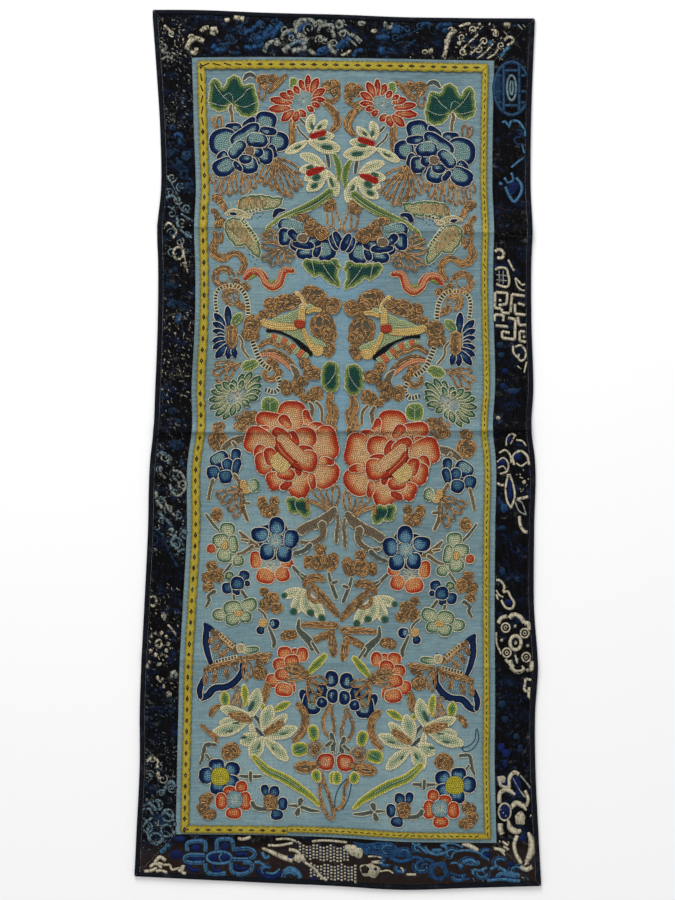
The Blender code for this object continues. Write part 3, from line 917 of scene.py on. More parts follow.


# The padding under a form: its outline as a low slab, with rows of points inside it that carry its colours,
# darkened as painted shade that shows between the knots and threads above it.
def addPad(heap, form):
    line = evenly(form["line"], 1.6, True)
    near = np.min([np.abs(line[:, 1] - crest(fold, line[:, 0])).min() for fold in folds])
    rows = [run for depth in np.arange(1.1, 12.0, 1.1 if near < 9.0 else 1.5)
            for run in insetRuns(form, depth, 1.6)[0]]
    flat, faces = facesOf(np.concatenate([line, *rows]), len(line))
    under, lowFaces = facesOf(line, len(line))
    if len(under) != len(line):
        return  # the outline crosses itself
    top = surface(flat) + stitch["padHigh"] + stitch["layer"] * form["level"]
    points = np.concatenate([np.column_stack([flat, top]),
                             np.column_stack([under, surface(under) - stitch["padDeep"]])])
    rim, low = np.arange(len(line)), len(flat)
    following = (rim + 1) % len(line)
    walls = np.stack([rim, rim + low, following + low, following], axis=1)
    gaps = np.linalg.norm(flat[len(line):, None] - line[None], axis=2)
    depths = np.concatenate([np.zeros(len(line)), gaps.min(1)])
    dye = dyeAt(form["colours"] or dyes["giltGround"], depthAt(form, flat, depths))
    dye = np.concatenate([dye, dye[:len(line)]]) * paintedShading["pad"]
    addParts(heap, points, dye, np.concatenate([faces, lowFaces[:, ::-1] + low]), walls)


# Gilt thread couched round and round inside a form, from its rim towards its middle.
def giltIn(form):
    for row in range(form["rings"]):
        runs, whole = insetRuns(form, stitch["giltHalf"] + row * stitch["giltApart"], 1.0)
        if not runs:
            break
        for path in runs:
            if len(path) > 3:
                threads.append({"line": path, "colour": "gilt", "closed": whole, "half": stitch["giltHalf"],
                                "high": stitch["giltHigh"], "order": form["order"] + 1, "side": form["side"]})


# Turns all forms and threads into joined meshes, the two halves apart.
def embroider(thread, silkKnots):
    paintMaps()
    heaps = {(kind, side): newHeap() for kind in ("pads", "knots", "cords", "gilt")
             for side in ("Left", "Right")}
    for form in forms:
        side = form["side"]
        if form["fill"] in ("knots", "satin"):
            addPad(heaps["pads", side], form)
        if form["fill"] == "gilt":
            giltIn(form)
            # Solid gilt coils get a dark brown pad: painted shadow and dirt in the gaps between their threads
            if form["rings"] > 3:
                addPad(heaps["pads", side], form)
        if form["fill"] == "knots":
            places, depths = knotsIn(form)
            if len(places):
                seen = ~covered(places, form["order"], stitch["hiddenNear"])
                places, depths = places[seen], depths[seen]
            if len(places):
                dye = dyeAt(form["colours"], depthAt(form, places, depths))
                dye = dye * draw.normal(1, 0.06, (len(places), 1))
                foot = surface(places) + stitch["padHigh"] + stitch["layer"] * form["level"] - 0.06
                addKnots(heaps["knots", side], places, foot, stitch["knotRadius"] * stitch["knotApart"],
                         stitch["knotHigh"], np.clip(dye, 0, 1))
        if form["edge"]:
            wobble = form["line"] + draw.normal(0, 0.06, form["line"].shape)
            threads.append({"line": evenly(wobble, stitch["cordStep"], True), "colour": form["edge"],
                            "closed": True, "half": stitch["cordHalf"], "high": stitch["cordHigh"],
                            "order": form["order"] + 1, "side": side})
    for item in threads:
        kind = "gilt" if item["colour"] == "gilt" else "cords"
        runs, whole = runsOf(~covered(item["line"], item["order"] - 1), item["closed"])
        for run in runs:
            line = item["line"][run]
            foot = surface(line) + stitch["layer"] * levelMap[cellsOf(line)] + stitch["padHigh"] * 0.5
            if kind == "gilt":
                own = giltTones[draw.choice(3)] * draw.uniform(0.85, 1.2)
                # Specks along the thread: most keep its tone, some are a painted glint and some a painted
                # shadow
                spots = draw.choice(3, len(run), p=(0.7, 0.16, 0.14))[:, None]
                own = own[None] * draw.uniform(0.88, 1.12, (len(run), 1))
                dye = np.choose(spots, (own, giltTones[3], giltTones[4]))
            else:
                dye = np.tile(threadTones[item["colour"]], (len(run), 1))
                dye = dye * draw.normal(1, 0.08, (len(run), 1))
            heap = heaps[kind, item["side"]]
            addRidge(heap, line, foot, item["half"], item["high"], np.clip(dye, 0, 1), whole)
    names = {"pads": "silkPadding", "knots": "silkKnots", "cords": "outlineCord", "gilt": "giltThread"}
    for (kind, side), heap in heaps.items():
        if heap["count"]:
            heapMesh(names[kind] + side, heap, {"gilt": thread}.get(kind, silkKnots))


# Silk colours by depth in millimetres from a form's rim
dyes = {
    "leafDark": ((0, "#8f9c55"), (1.5, "#7f9350"), (2.3, "#3f6446"), (3.4, "#1d4640"), (6, "#22504a")),
    "leafMid": ((0, "#8f9c4c"), (1.4, "#6f8a4a"), (2.6, "#3f6a4a")),
    "leafPale": ((0, "#97a355"), (1.5, "#819650"), (3.0, "#56784a")),
    "leafYellow": ((0, "#c3bb42"), (1.3, "#b3b040"), (2.0, "#6f9150"), (3.2, "#47745a")),
    "redRay": ((0, "#931f16"), (1.4, "#a2281c"), (2.1, "#b85c3f"), (3, "#c98a5e")),
    "navy": ((0, "#0b1f4a"), (3.2, "#112a58"), (3.8, "#416784"), (4.4, "#86a29f"), (7, "#82a09c")),
    "navySolid": ((0, "#0c1d48"), (1.9, "#112a55"), (2.7, "#2b4f74"), (3.8, "#4a748c")),
    "peony": ((0, "#a02c1b"), (2.0, "#b13d26"), (3.5, "#c6603a"), (4.9, "#d08858"), (6.4, "#d6a273"),
              (9, "#d8b080")),
    "peonyPale": ((0, "#d2a576"), (3, "#dab184")),
    "peonyHeart": ((0, "#d8b87a"), (3, "#d9bd80")),
    "orchid": ((0, "#dfd8ae"), (1.7, "#d5cea4"), (2.7, "#b6bc9a"), (4, "#a4b092")),
    "redBar": ((0, "#a0241a"), (2, "#a82c20")),
    "brown": ((0, "#7d6a58"), (2, "#87725e")),
    "wing": ((0, "#3f6b55"), (0.9, "#4f7a60"), (1.7, "#aeaa7e"), (3.5, "#b9b388")),
    "coral": ((0, "#a42b17"), (1.6, "#b53e22"), (2.5, "#c96b41"), (3.7, "#d79461")),
    "coralBud": ((0, "#a23722"), (1.2, "#b24c31"), (3, "#bb6640")),
    "cream": ((0, "#c3b68d"), (3, "#b9ad85")),
    "creamGreen": ((0, "#3c624e"), (1.5, "#53775f"), (2.2, "#a3b08f"), (4, "#bfc29b")),
    "greenRay": ((0, "#2a5745"), (1.3, "#3c6a54"), (2.0, "#98a27c"), (3, "#aeac84")),
    "ray": ((0, "#2a5745"), (1.4, "#35614e"), (2.0, "#8f9f7a"), (2.8, "#b0ae86")),
    "strut": ((0, "#cdaa68"), (1.2, "#d8b974"), (3, "#dcbf7c")),
    "fieldGreen": ((0, "#afbb8c"), (3, "#a2ae82")),
    "paleGreen": ((0, "#b0bd90"), (3, "#a6b288")),
    "coralBlock": ((0, "#cf7248"), (3, "#d57f54")),
    "black": ((0, "#15161a"), (3, "#1a1b20")),
    "redKnot": ((0, "#a83c26"), (2, "#b84a30")),
    "yellowDisc": ((0, "#a9a330"), (1.5, "#bcb038"), (4, "#bdb03c")),
    "orange": ((0, "#b5713f"), (2, "#c0824a")),
    "branch": ((0, "#7f7058"), (2, "#786a56"), (4, "#73695a")),
    "branchGreen": ((0, "#5f6860"), (3, "#58625e")),
    "cherry": ((0, "#a22a18"), (1.7, "#b43c26"), (2.9, "#d08a60"), (5.5, "#d9a67c")),
    "lily": ((0, "#dfd8ae"), (1.6, "#d3cda4"), (2.4, "#acba98"), (4.8, "#94ac90")),
    "berryNavy": ((0, "#14264c"), (2, "#1b3258")),
    # Under solid gilt: dirt and painted shadow in the gaps between its threads
    "giltGround": ((0, "#75654f"), (3, "#67604f")),
    "slate": ((0, "#56605f"), (3, "#4f5a5c")),
    "navyUnder": ((0, "#0f2350"), (3, "#132a58")),
    "peonyUnder": ((0, "#98291b"), (3, "#a23422")),
    "plum": ((0, "#0b1b46"), (2.9, "#112852"), (3.6, "#26507c"), (5.2, "#6b94a6")),
    "paleHeart": ((0, "#6f939f"), (4, "#93aca8")),
    "apricot": ((0, "#cfa868"), (3, "#d6b074")),
    "salmon": ((0, "#c9805c"), (1.2, "#d89a72"), (4, "#dba47c")),
    "redRibbon": ((0, "#a02a18"), (1.2, "#b03c24"), (2.0, "#cc7c52"), (3, "#dba070")),
    "deepGreen": ((0, "#4f7258"), (1.2, "#315c4c"), (3, "#2b5648")),
    "wingBlue": ((0, "#5d7f90"), (1.5, "#7894a0"), (4, "#7f9a9f")),
}


# A photo pixel as the panel's millimetres.
def at(*point):
    return onPanel(point)[0]


# Petals round a heart, each a place, width, height and turn. The rim is full away from the heart.
def petals(rows, colours, heart, fade=0.0, lobes=0, edge="cream"):
    hx, hy = at(*heart)
    for x, y, wide, high, *turn in rows:
        px, py = at(x, y)
        sew(petal(px, py, wide * pixel, high * pixel, *turn, lobes=lobes), dyes[colours],
            np.arctan2(py - hy, px - hx), fade, edge)


# A leaf or wing: a smooth outline through its points, with a slight wave along it.
def leaf(points, colours, edge="cream", step=0.7, wave=0.35):
    line = evenly(curve(onPanel(points), step, True), step, True)
    run = np.arange(len(line)) * step
    outward = sides(np.concatenate([line[-1:], line, line[:1]]))[1:-1]
    line = line + outward * (wave * np.sin(run / 0.85 + np.sin(run / 5)))[:, None]
    sew(line, dyes[colours], edge=edge)


# A band along points, with a width at equal shares of its length.
def strip(points, widths, colours, edge="cream"):
    widths = [w * pixel for w in (widths if hasattr(widths, "__len__") else (widths, widths))]
    sew(stripOf(onPanel(points), widths), dyes[colours], edge=edge)


# Long narrow petals, each from its base to its tip.
def rays(rows, colours, widest):
    for bx, by, tx, ty, *own in rows:
        w = own[0] if own else widest
        b, t = at(bx, by), at(tx, ty)
        line = stripOf(np.array([b, (b + t) / 2, t]), [w * pixel * k for k in (0.45, 0.8, 1.0, 0.95, 0.5)])
        sew(line, dyes[colours], np.arctan2(*(t - b)[::-1]), 1.2)


# Thin cords along smooth lines.
def veins(lines, colour="cream", half=0.24):
    for line in lines:
        lay(curve(onPanel(line), 0.8), colour, half)


# Straight stitches out from a middle.
def star(x, y, radius, count=14, colour="pale", inner=0.15):
    for k in range(count):
        a = 2 * np.pi * k / count + draw.uniform(-0.1, 0.1)
        far = radius * draw.uniform(0.85, 1.1)
        path = np.outer((inner * far, far * 0.6, far), (np.cos(a), np.sin(a)))
        lay(at(x, y) + pixel * path, colour, 0.2, 0.3)


# A band of gilt threads side by side.
def goldRun(points, widths):
    widths = [w * pixel for w in (widths if hasattr(widths, "__len__") else (widths, widths))]
    sew(stripOf(onPanel(points), widths), None, edge=None, fill="gilt")


# Teardrop loops of gilt thread that hang from a base, open in their middle.
def goldLoops(start, tips, width, rings=2):
    for tx, ty, *own in tips:
        b, t = at(*start), at(tx, ty)
        w = (own[0] if own else width) * pixel
        bend = sides(np.array([b, t]))[0] * draw.uniform(-0.09, 0.09) * np.linalg.norm(t - b)
        sew(stripOf(np.array([b, b * 0.5 + t * 0.5 + bend, t]), [w * k for k in (0.3, 0.6, 0.95, 1.0, 0.7)]),
            None, edge=None, fill="gilt", rings=rings)


# Coils of gilt thread: an open oval of nested threads, with a few loops over it. Place, width, height, turn.
def gold(rows):
    for x, y, wide, high, *turn in rows:
        lean = turn[0] if turn else draw.uniform(-30, 30)
        sew(petal(*at(x, y), wide * pixel, high * pixel, lean), None, edge=None, fill="gilt", rings=4)
        start = draw.uniform(0, 360)
        for k in range(2 if wide + high < 34 else 3):
            a = np.radians(start + k * 130 + draw.uniform(-25, 25))
            u, v = 0.2 * wide * np.cos(a), 0.2 * high * np.sin(a)
            size = draw.uniform(0.42, 0.58)
            sew(petal(*at(x + u, y + v), wide * size * pixel, high * size * 0.8 * pixel,
                      draw.uniform(0, 180)), None, edge=None, fill="gilt", rings=2)


# A branch as a band along points, with bands for its side branches.
def twig(points, widths, side=(), colours="branch"):
    strip(points, widths, colours)
    for branch, w in side:
        strip(branch, w, colours)


# A chain of pale beads with black bars across it.
def beads(points, width=4.0):
    line = evenly(curve(onPanel(points), 0.6), 1.1)
    across = sides(line) * width * 0.34
    for k, (p, a) in enumerate(zip(line, across)):
        colour, half, reach = ("black", 0.36, 0.72) if k % 2 else ("bone", 0.5, 1.0)
        lay(np.array([p - a * reach, p, p + a * reach]), colour, half, 0.5, 0.7)
    for sign in (-1, 1):
        lay(line + across * sign * 1.15, "cream", 0.3)


# How far the right half's motif stands from the mirrored left one, in photo pixels, down for dy.
def shift(dx=0.0, dy=0.0):
    placing["shift"] = (dx * pixel, -dy * pixel)


# Petals that narrow to their base, each from its base to its tip, with a width.
def blades(rows, colours):
    for bx, by, tx, ty, width in rows:
        b, t = at(bx, by), at(tx, ty)
        bend = sides(np.array([b, t]))[0] * draw.uniform(-0.06, 0.06) * np.linalg.norm(t - b)
        line = stripOf(np.array([b, b * 0.5 + t * 0.5 + bend, t]),
                       [width * pixel * k for k in (0.3, 0.72, 1.0, 0.96, 0.42)])
        sew(line, dyes[colours])


# Small knotted patches over a petal, without a cord.
def spots(rows, colours):
    for x, y, wide, high, turn in rows:
        sew(petal(*at(x, y), wide * pixel, high * pixel, turn), dyes[colours], edge=None)


# Plain satin under a flower, so that no ground shows between its petals.
def base(x, y, wide, high, colours, turn=0.0):
    sew(petal(*at(x, y), wide * pixel, high * pixel, turn), dyes[colours], edge=None, fill="satin")


# Loops side by side that hang from a line between two places.
def goldFan(first, last, tips, width):
    bases = np.linspace(first, last, len(tips))
    for start, tip in zip(bases, tips):
        goldLoops(start, [tip], width)


# Upper quarter: lotus leaf, red ray flower, navy peony with gilt loops, two orchids.
def sewTop():
    shift(-2, 5)
    leaf([208.3, 102.4, 209.5, 91, 210, 82.5, 213.7, 79.2, 219.2, 80.7, 222.4, 87.4, 224.8, 86.6, 227.6, 79.7,
          233, 75.8, 238.6, 76.8, 241.9, 82, 244.5, 86.2, 249.3, 83.7, 254.6, 86, 256, 93, 258.6, 101.5,
          258.6, 108.4, 256.2, 114.3, 249.8, 117.6, 242, 116.4, 236.4, 111.5, 233.5, 106.2, 229.5, 106.4,
          224.6, 111.3, 217.7, 111.8, 210.8, 108.4], "leafDark")
    veins([[232, 104, 222.6, 96, 216, 87, 213.7, 81.7], [234, 103, 243, 96, 247, 90.5, 254.3, 87],
           [231, 105, 222, 106, 208.8, 102.4], [235, 105, 245, 107.4, 257.2, 102.4],
           [223.5, 96.5, 229.5, 93.5, 232.5, 96.5, 233.2, 102]])
    strip([231.5, 105, 230.3, 110, 232, 115, 232.5, 123.2], (3, 4.6, 3.4, 4), "branch")
    strip([243.4, 80.4, 247, 76, 251, 75, 255.5, 77.5], (3, 5.4, 5.4, 4), "slate")
    gold([(262.5, 80, 13, 11), (272.5, 79, 12, 9, 10)])
    goldLoops((261, 83), [(262.5, 99.5, 9), (269, 90, 6)], 8)
    goldRun([287, 75, 281, 80.5, 274, 87.5, 268.5, 92.5], (3, 6, 7, 5))
    shift(1, 3)
    leaf([290, 88, 289.6, 81, 292.8, 77.5, 297, 80, 297.3, 86, 294, 90], "leafPale")
    gold([(331, 87, 20, 14, 10), (336, 93, 10, 10)])
    goldRun([324, 99, 331, 102, 338.5, 98], 5)
    goldRun([322, 103, 331.5, 109.5, 337.3, 120, 335.5, 127, 330.5, 132.3], (4, 7, 8.5, 8, 5))
    goldRun([292.5, 120, 292.3, 145.4], (7, 7.5, 7))
    rays([(304.2, 91, 300.2, 80.6, 7.4), (307.6, 92, 308.3, 75.8, 6.8), (311.1, 92.8, 317.6, 79.4, 8.8),
          (313, 96.7, 324.3, 90, 8.2), (312.4, 100.2, 324.8, 100.4, 6.4), (311.6, 104, 319.4, 106.6, 6.6),
          (307.4, 107.2, 313.4, 111.6, 6.8), (299.4, 110.6, 305.4, 116.8, 7.8),
          (297.6, 112, 294.6, 121.8, 8.4), (293.2, 111, 282.2, 121, 9), (290, 108.6, 269.9, 109.6, 8.8),
          (291.6, 103.6, 270.8, 99.8, 8.2), (293, 98.8, 280.3, 94.6, 8), (293.4, 95.4, 287.4, 91.2, 6.2),
          (299, 94, 294.4, 87, 7)], "redRay", 7)
    star(303.7, 100, 8, 20)
    # navy peony
    shift(-2, 6)
    goldLoops((222, 134), [(212.5, 118.5, 7), (219.5, 116.5, 8)], 7)
    goldFan((217, 171), (255, 172), [(212.3, 183), (216.5, 190.5), (223.2, 193.8), (229.4, 195.6),
                                     (235.8, 192.8), (242.2, 193.8), (248.7, 191.6), (254.6, 188),
                                     (259.4, 182)], 7.6)
    goldLoops((275.5, 157), [(265.5, 165.7, 6), (261.5, 177.6, 8), (299.5, 172, 9), (264.2, 185, 7.5),
                             (301.7, 185.5, 8), (271.5, 188.8, 7.5), (297, 190.4, 8), (278.5, 191.4, 7.5),
                             (290.8, 196.6, 8), (284.6, 196, 7.5)], 7)
    base(247, 145, 54, 38, "navyUnder", -5)
    petals([(266.1, 121.6, 22, 20, -18), (233.5, 127.5, 17, 9), (249, 123, 16, 8, 38),
            (223.8, 142.2, 30, 27, 10), (279, 142, 20, 20), (268.3, 131.6, 18, 9, -8),
            (222.4, 156.2, 12, 9, 35), (223.8, 167.4, 23, 19, 25), (249.4, 166, 18, 17, 20),
            (237.8, 166.6, 13, 6.5, -50), (273, 151.4, 7.5, 15, 20), (266, 156.6, 15, 17),
            (245.6, 159.6, 14, 10), (258.2, 152.2, 10, 12, 30)], "navy", (250, 149), 2.4)
    petals([(245.4, 134.3, 34, 14, 32)], "navy", (252, 150), 3.0)
    petals([(257, 140.8, 22, 15, -8)], "navy", (256, 131), 4.0)
    petals([(237.2, 150, 22, 13.5, 48)], "navy", (231, 144), 4.0)
    petals([(250, 151.4, 10, 9)], "brown", (250, 151))
    # orchids
    shift(0, 6)
    strip([300, 119, 303, 122.5, 307, 127, 309.5, 131], 3, "slate")
    strip([297, 126, 300, 132, 305, 137, 308.6, 141], 2.6, "slate")
    strip([327, 154, 328.4, 162, 329, 168], (4, 4.4, 3), "slate")
    blades([(309.3, 133, 312.8, 115.4, 9.4), (313.4, 133.4, 326.4, 121.4, 9), (307.6, 141.6, 286.6, 153, 9),
            (310, 139.4, 333.4, 136, 10.5), (309.4, 142, 339, 149, 14)], "orchid")
    spots([(312, 126.6, 3.4, 7, 10), (319.5, 127.4, 6, 3.4, 45), (322, 139, 9, 3.2, 5),
           (327, 147.6, 12, 5, -8), (298, 147.4, 9, 2.6, 25)], "deepGreen")
    strip([311, 137, 317.5, 135, 324.8, 132.8], (4.6, 5, 4.6), "redBar", edge="red")
    blades([(325, 167, 301.4, 155.4, 9.6), (323, 168, 300.6, 170.6, 11), (325.6, 171, 306, 180, 12.5),
            (326, 172.6, 308, 190, 13), (327.4, 171.6, 336.6, 195.8, 11)], "orchid")
    spots([(310, 167.4, 8, 4, 15), (316.4, 177.8, 9, 6.4, 30), (314.4, 186.2, 8, 5, 25),
           (331.6, 183, 3, 10, 20)], "deepGreen")
    strip([308, 174, 315, 171.4, 323.6, 168.8], (5.4, 6.2, 3), "redBar", edge="red")
    strip([333.6, 154.6, 337.6, 163, 339, 172, 338.4, 182], (4, 7, 6, 3), "leafMid")


# Pale butterfly with spots, long leaf, and the navy flower at the seam with its leaf.
def sewButterflies():
    shift(0, 3)
    goldRun([213, 199, 217.5, 196.5, 221, 200, 223, 206, 226.5, 210.5], (6, 7, 6, 7, 6))
    gold([(218.5, 199.5, 9, 9)])
    goldRun([213, 210.5, 216.5, 214, 219.4, 220.5, 225, 223], (6, 6, 8, 8))
    gold([(220, 224, 13, 9, 15)])
    leaf([238, 203, 241.4, 198, 245.4, 196.4, 252, 195.4, 263.2, 195, 273, 197.2, 283, 197.6, 282, 204,
          277, 208.8, 267.1, 210.8, 259.2, 210.3, 249.3, 211.2, 241.4, 212.3, 238.4, 208], "wing")
    veins([[247.5, 196, 249.6, 190.5, 253.3, 191, 254.8, 194.6, 263, 195.2]])
    leaf([227.6, 219.6, 224.4, 227, 226.2, 235.8, 232.2, 243.4, 237.2, 247.6, 244.4, 246.2, 249.3, 250.8,
          255, 256.8, 260.4, 258, 261, 251, 259.2, 242.4, 254.3, 232.5, 246, 223.6, 238, 217.8], "wing")
    for bx, by, tx, ty in ((241, 209, 241.6, 199.6), (246.4, 209.4, 247.4, 198.6), (252, 209, 253.2, 198.4),
                           (258, 208.6, 259, 199), (263.4, 207.6, 264.4, 200), (232, 222, 230.4, 229),
                           (236.4, 221.6, 234.4, 233), (240.8, 224.4, 238.6, 237),
                           (245.6, 229.4, 243.6, 241.6), (250.4, 236.4, 248.8, 246)):
        goldLoops((bx, by), [(tx, ty, 5.6)], 5.6, 1)
    strip([225.6, 214.2, 232, 212.6, 240, 213.6, 249.6, 217.6], (3, 7.4, 6.6, 4.4), "cream")
    sew(petal(*at(233.4, 214.2), 5.6, 2.7, -8), dyes["berryNavy"], edge="cream")
    veins([[237, 210, 236.4, 205, 234.6, 201], [233, 210, 231.6, 206.5, 230.6, 202.6]], "bone")
    beads([242, 219.5, 246.5, 225, 250.5, 231, 255, 237.5, 258.4, 241.6], 3.8)
    beads([248.5, 212.6, 255, 210.6, 262, 210], 3.0)
    strip([243, 216.4, 248, 216, 251.4, 214.4], (3, 4, 3), "cream")
    for x, y in ((254, 215), (257, 213.5), (260, 217), (263, 214), (252, 219), (257.5, 219), (249.5, 255),
                 (253, 257.5), (256.5, 260), (251, 262), (255, 264.5)):
        lay(at(x, y) + np.array([[-0.4, 0], [0, 0.1], [0.4, 0]]), "ink", 0.35, 0.12, 0.5)
    # long leaf and navy flower
    shift(0, 2)
    goldLoops((328, 198), [(338.5, 230, 11), (331, 227, 9)], 9)
    gold([(329.5, 205, 14, 14), (322, 201, 10, 8)])
    strip([331.3, 191.6, 321.5, 199.6, 308.6, 207, 293.8, 213.2, 282.8, 217.7, 275, 222.5, 268.4, 227.6,
           266.7, 232, 268, 238.8], (8.5, 9, 9, 8.4, 7, 5.4, 4, 3.4, 2.5), "leafDark")
    veins([[330, 194, 321, 201, 309, 208, 294, 213.8, 280, 219.6]])
    strip([273.8, 217.4, 276.6, 212, 280, 210.6, 285.6, 210.4], (4, 6.4, 5, 2.6), "navySolid")
    goldLoops((286, 248), [(269, 231, 10), (262, 235, 8), (262, 245.4, 9), (275.5, 236, 9), (262.3, 259, 8),
                           (271, 264.6, 9), (279.6, 263.6, 9), (288.4, 262, 9), (293.4, 257, 8)], 8)
    base(309, 240, 44, 26, "navyUnder", -10)
    petals([(292.6, 228.6, 30, 17, -20)], "navy", (296, 219), 4.0)
    petals([(284.6, 237.4, 13, 18), (295.6, 246.4, 12, 10, -25), (305.6, 253.4, 19, 13, 5),
            (326, 250.6, 20, 22, 10), (317, 251.8, 8, 13, -20), (334, 243, 8, 18, 24),
            (338.6, 240.6, 8.4, 20, 24), (315, 241.4, 15, 12, 15), (303.7, 245, 23, 9, -8),
            (293.2, 235.4, 9, 14, 40)], "navy", (303, 238), 2.0)
    gold([(303, 217.6, 16, 8, -8), (312.6, 229.5, 20, 16, -15), (321.6, 233.5, 15, 14, 30),
          (311, 222, 10, 8)])
    petals([(302.7, 238.6, 11, 9)], "brown", (302, 238))
    leaf([302.7, 265.1, 303.7, 260.2, 308.6, 259.2, 318.5, 260.7, 328.4, 260.7, 336.3, 258.2, 339.3, 263.2,
          341, 268.1, 337.8, 272, 338.3, 277, 340.8, 286.9, 335.3, 286.5, 328.4, 282.9, 322.5, 278, 319.5,
          275, 315.5, 278, 310.6, 275, 304.7, 269.1], "leafDark")
    veins([[311.5, 260, 313.5, 268, 314.8, 277], [322, 263, 328, 273, 337.5, 285],
           [331.5, 262, 336, 267, 338.5, 272]])


# Gilt scrolls and open rings, chains of beads, and the coral ribbon.
def sewScrolls():
    shift(-2, 1)
    goldRun([213.7, 231.5, 216.4, 237, 215, 243.4, 213, 249.3, 217, 256.4, 224, 258.6, 229, 255.6, 235.5,
             253.2, 242, 257.4, 244.4, 264.6, 241.6, 271, 238.4, 275],
            (4, 6, 8, 9, 8.5, 8, 6.5, 6, 7, 7, 6, 5))
    goldRun([221, 233, 222, 238, 220.5, 243], 4)
    for x, y, far in ((223.6, 277.2, 11.8), (230.7, 296.8, 8.8)):
        a = np.linspace(0.35, 2 * np.pi + 0.35, 24)
        goldRun([(x + (far - 3.4) * np.cos(v), y + (far - 3.4) * np.sin(v)) for v in a], 7.2)
    goldRun([236.6, 302, 240.4, 306, 246.5, 310], (8, 7, 4))
    gold([(237, 283.5, 8, 12, 20), (246, 287, 10, 8)])
    beads([217.6, 313, 216, 306, 215.8, 297, 218.6, 290, 225, 286.8, 232.5, 286], 3.4)
    beads([234, 285.8, 240, 288.4, 245.4, 295.5, 248, 305.6, 248.4, 316.5], 4.2)
    # coral ribbon, deep red on its lower side
    shift(0, 1)
    path = np.array([(244.5, 278.5), (246.8, 274), (251.4, 271.2), (257.5, 271.2), (262.4, 275.8),
                     (265.4, 282), (271.8, 286.4), (278.2, 283.2), (280.8, 276.6), (283, 271.4),
                     (287.4, 269.2), (293, 270.6)])
    strip(path + (0.7, 0.9), (5.4, 7.6, 8, 8, 8, 7.4, 5), "redRibbon", edge="bone")
    strip(path - (0.6, 0.9), (3.4, 4.6, 5, 5, 5, 4.6, 3), "salmon", edge=None)
    strip([249.5, 279, 253, 276.3, 256.5, 276], (3, 3.4, 2), "leafPale", edge=None)
    strip([268.3, 280, 271.6, 282.2, 274.8, 280], (2.4, 3.4, 2.4), "leafPale", edge=None)


# Round emblem with struts, pale fields and a striped band, in clouds of gilt.
def sewEmblem():
    shift(0, 2)
    gold([(270.1, 304.8, 13, 15, 20), (277, 310, 11, 9), (285.5, 302.9, 25, 17, 8), (296, 298, 12, 13),
          (263.2, 314.7, 10, 9), (272, 316, 12, 6), (313.6, 296.5, 28, 20, -20), (322, 305, 18, 13, -30),
          (333.3, 305.8, 15, 17), (322.5, 326, 26, 26, 20), (329, 336, 16, 16), (328.4, 349.3, 14, 17)])
    leaf([266.5, 321.5, 276, 317, 287, 314, 299, 309.5, 299.5, 323.5, 284, 324.5, 268, 323], "fieldGreen",
         edge=None)
    leaf([281, 329, 302, 328, 306, 336, 310, 349, 299, 343, 290, 336.5], "fieldGreen", edge=None)
    leaf([308, 335, 317, 339, 327.4, 345.4, 320, 347.5, 312, 344.5], "fieldGreen", edge=None)
    leaf([305.5, 308, 308, 303.6, 318, 308.6, 308, 311], "fieldGreen", edge=None)
    strip([262.6, 322, 269, 325, 281, 327, 296, 327.4], (7.4, 8.2, 7.4, 6), "strut", edge=None)
    strip([301.7, 322, 301.7, 313, 302.8, 305.4], (7.6, 7, 8), "strut", edge=None)
    strip([296.4, 292.8, 301.4, 297.4, 304.2, 303, 304.6, 308], (4, 3, 3, 4), "strut", edge="cream")
    strip([307, 312.6, 313, 309.8, 320.6, 310.4], (4.4, 5.4, 4.8), "strut", edge=None)
    strip([303.4, 329, 307, 338.4, 312.4, 347.3, 318.5, 352.4], (4.4, 5, 7, 9), "strut", edge=None)
    petals([(317.8, 350.8, 12, 11)], "strut", (317, 351), edge=None)
    petals([(299.7, 324.2, 11.4, 8.4, -10)], "redKnot", (299, 324), edge=None)
    strip([267.1, 330.8, 276, 331.4, 283.9, 334, 291.8, 337.8, 298.7, 342.8, 304.7, 348.4, 311, 354.8],
          (3.6, 2.8, 2.2, 2.2, 4.6, 6, 5), "black", edge=None)
    band = evenly(curve(onPanel([(267.1, 336.5), (276, 338.4), (285.4, 342.2), (293.8, 348.8), (301.7, 354.8),
                                 (307, 358.8)]), 0.6), 0.6)
    parts = 9
    for k in range(parts):
        first, last = k * (len(band) - 1) // parts, (k + 1) * (len(band) - 1) // parts + 1
        run = band[first:last]
        across = sides(band)[first:last] * 3.1 * (0.8 + 0.25 * k / parts)
        outline = np.concatenate([run + across, (run - across)[::-1]])
        sew(evenly(outline, 0.6, True), dyes["coralBlock" if k % 2 else "paleGreen"], edge=None)
    # gilt and chains below it
    goldRun([259.5, 347, 265, 342.5, 272, 341.4, 278, 346, 286, 347, 290, 353], (5, 6, 6, 4, 6, 5))
    goldRun([262, 353.4, 272, 351.4, 282, 355, 290, 362, 294, 368], (5, 6, 6, 6, 6))
    strip([260.5, 355.5, 269, 354.6, 278, 358, 285, 363.4, 291, 370], (4, 5, 4.4, 4.2, 3), "salmon",
          edge=None)
    strip([291, 365.4, 296.4, 372.4, 296.6, 378, 294.4, 384], (3, 7, 7, 4), "branch")
    gold([(272, 364, 15, 11, -30), (304.6, 363, 12, 11), (312, 372.6, 19, 14, -20), (279, 373, 9, 8)])


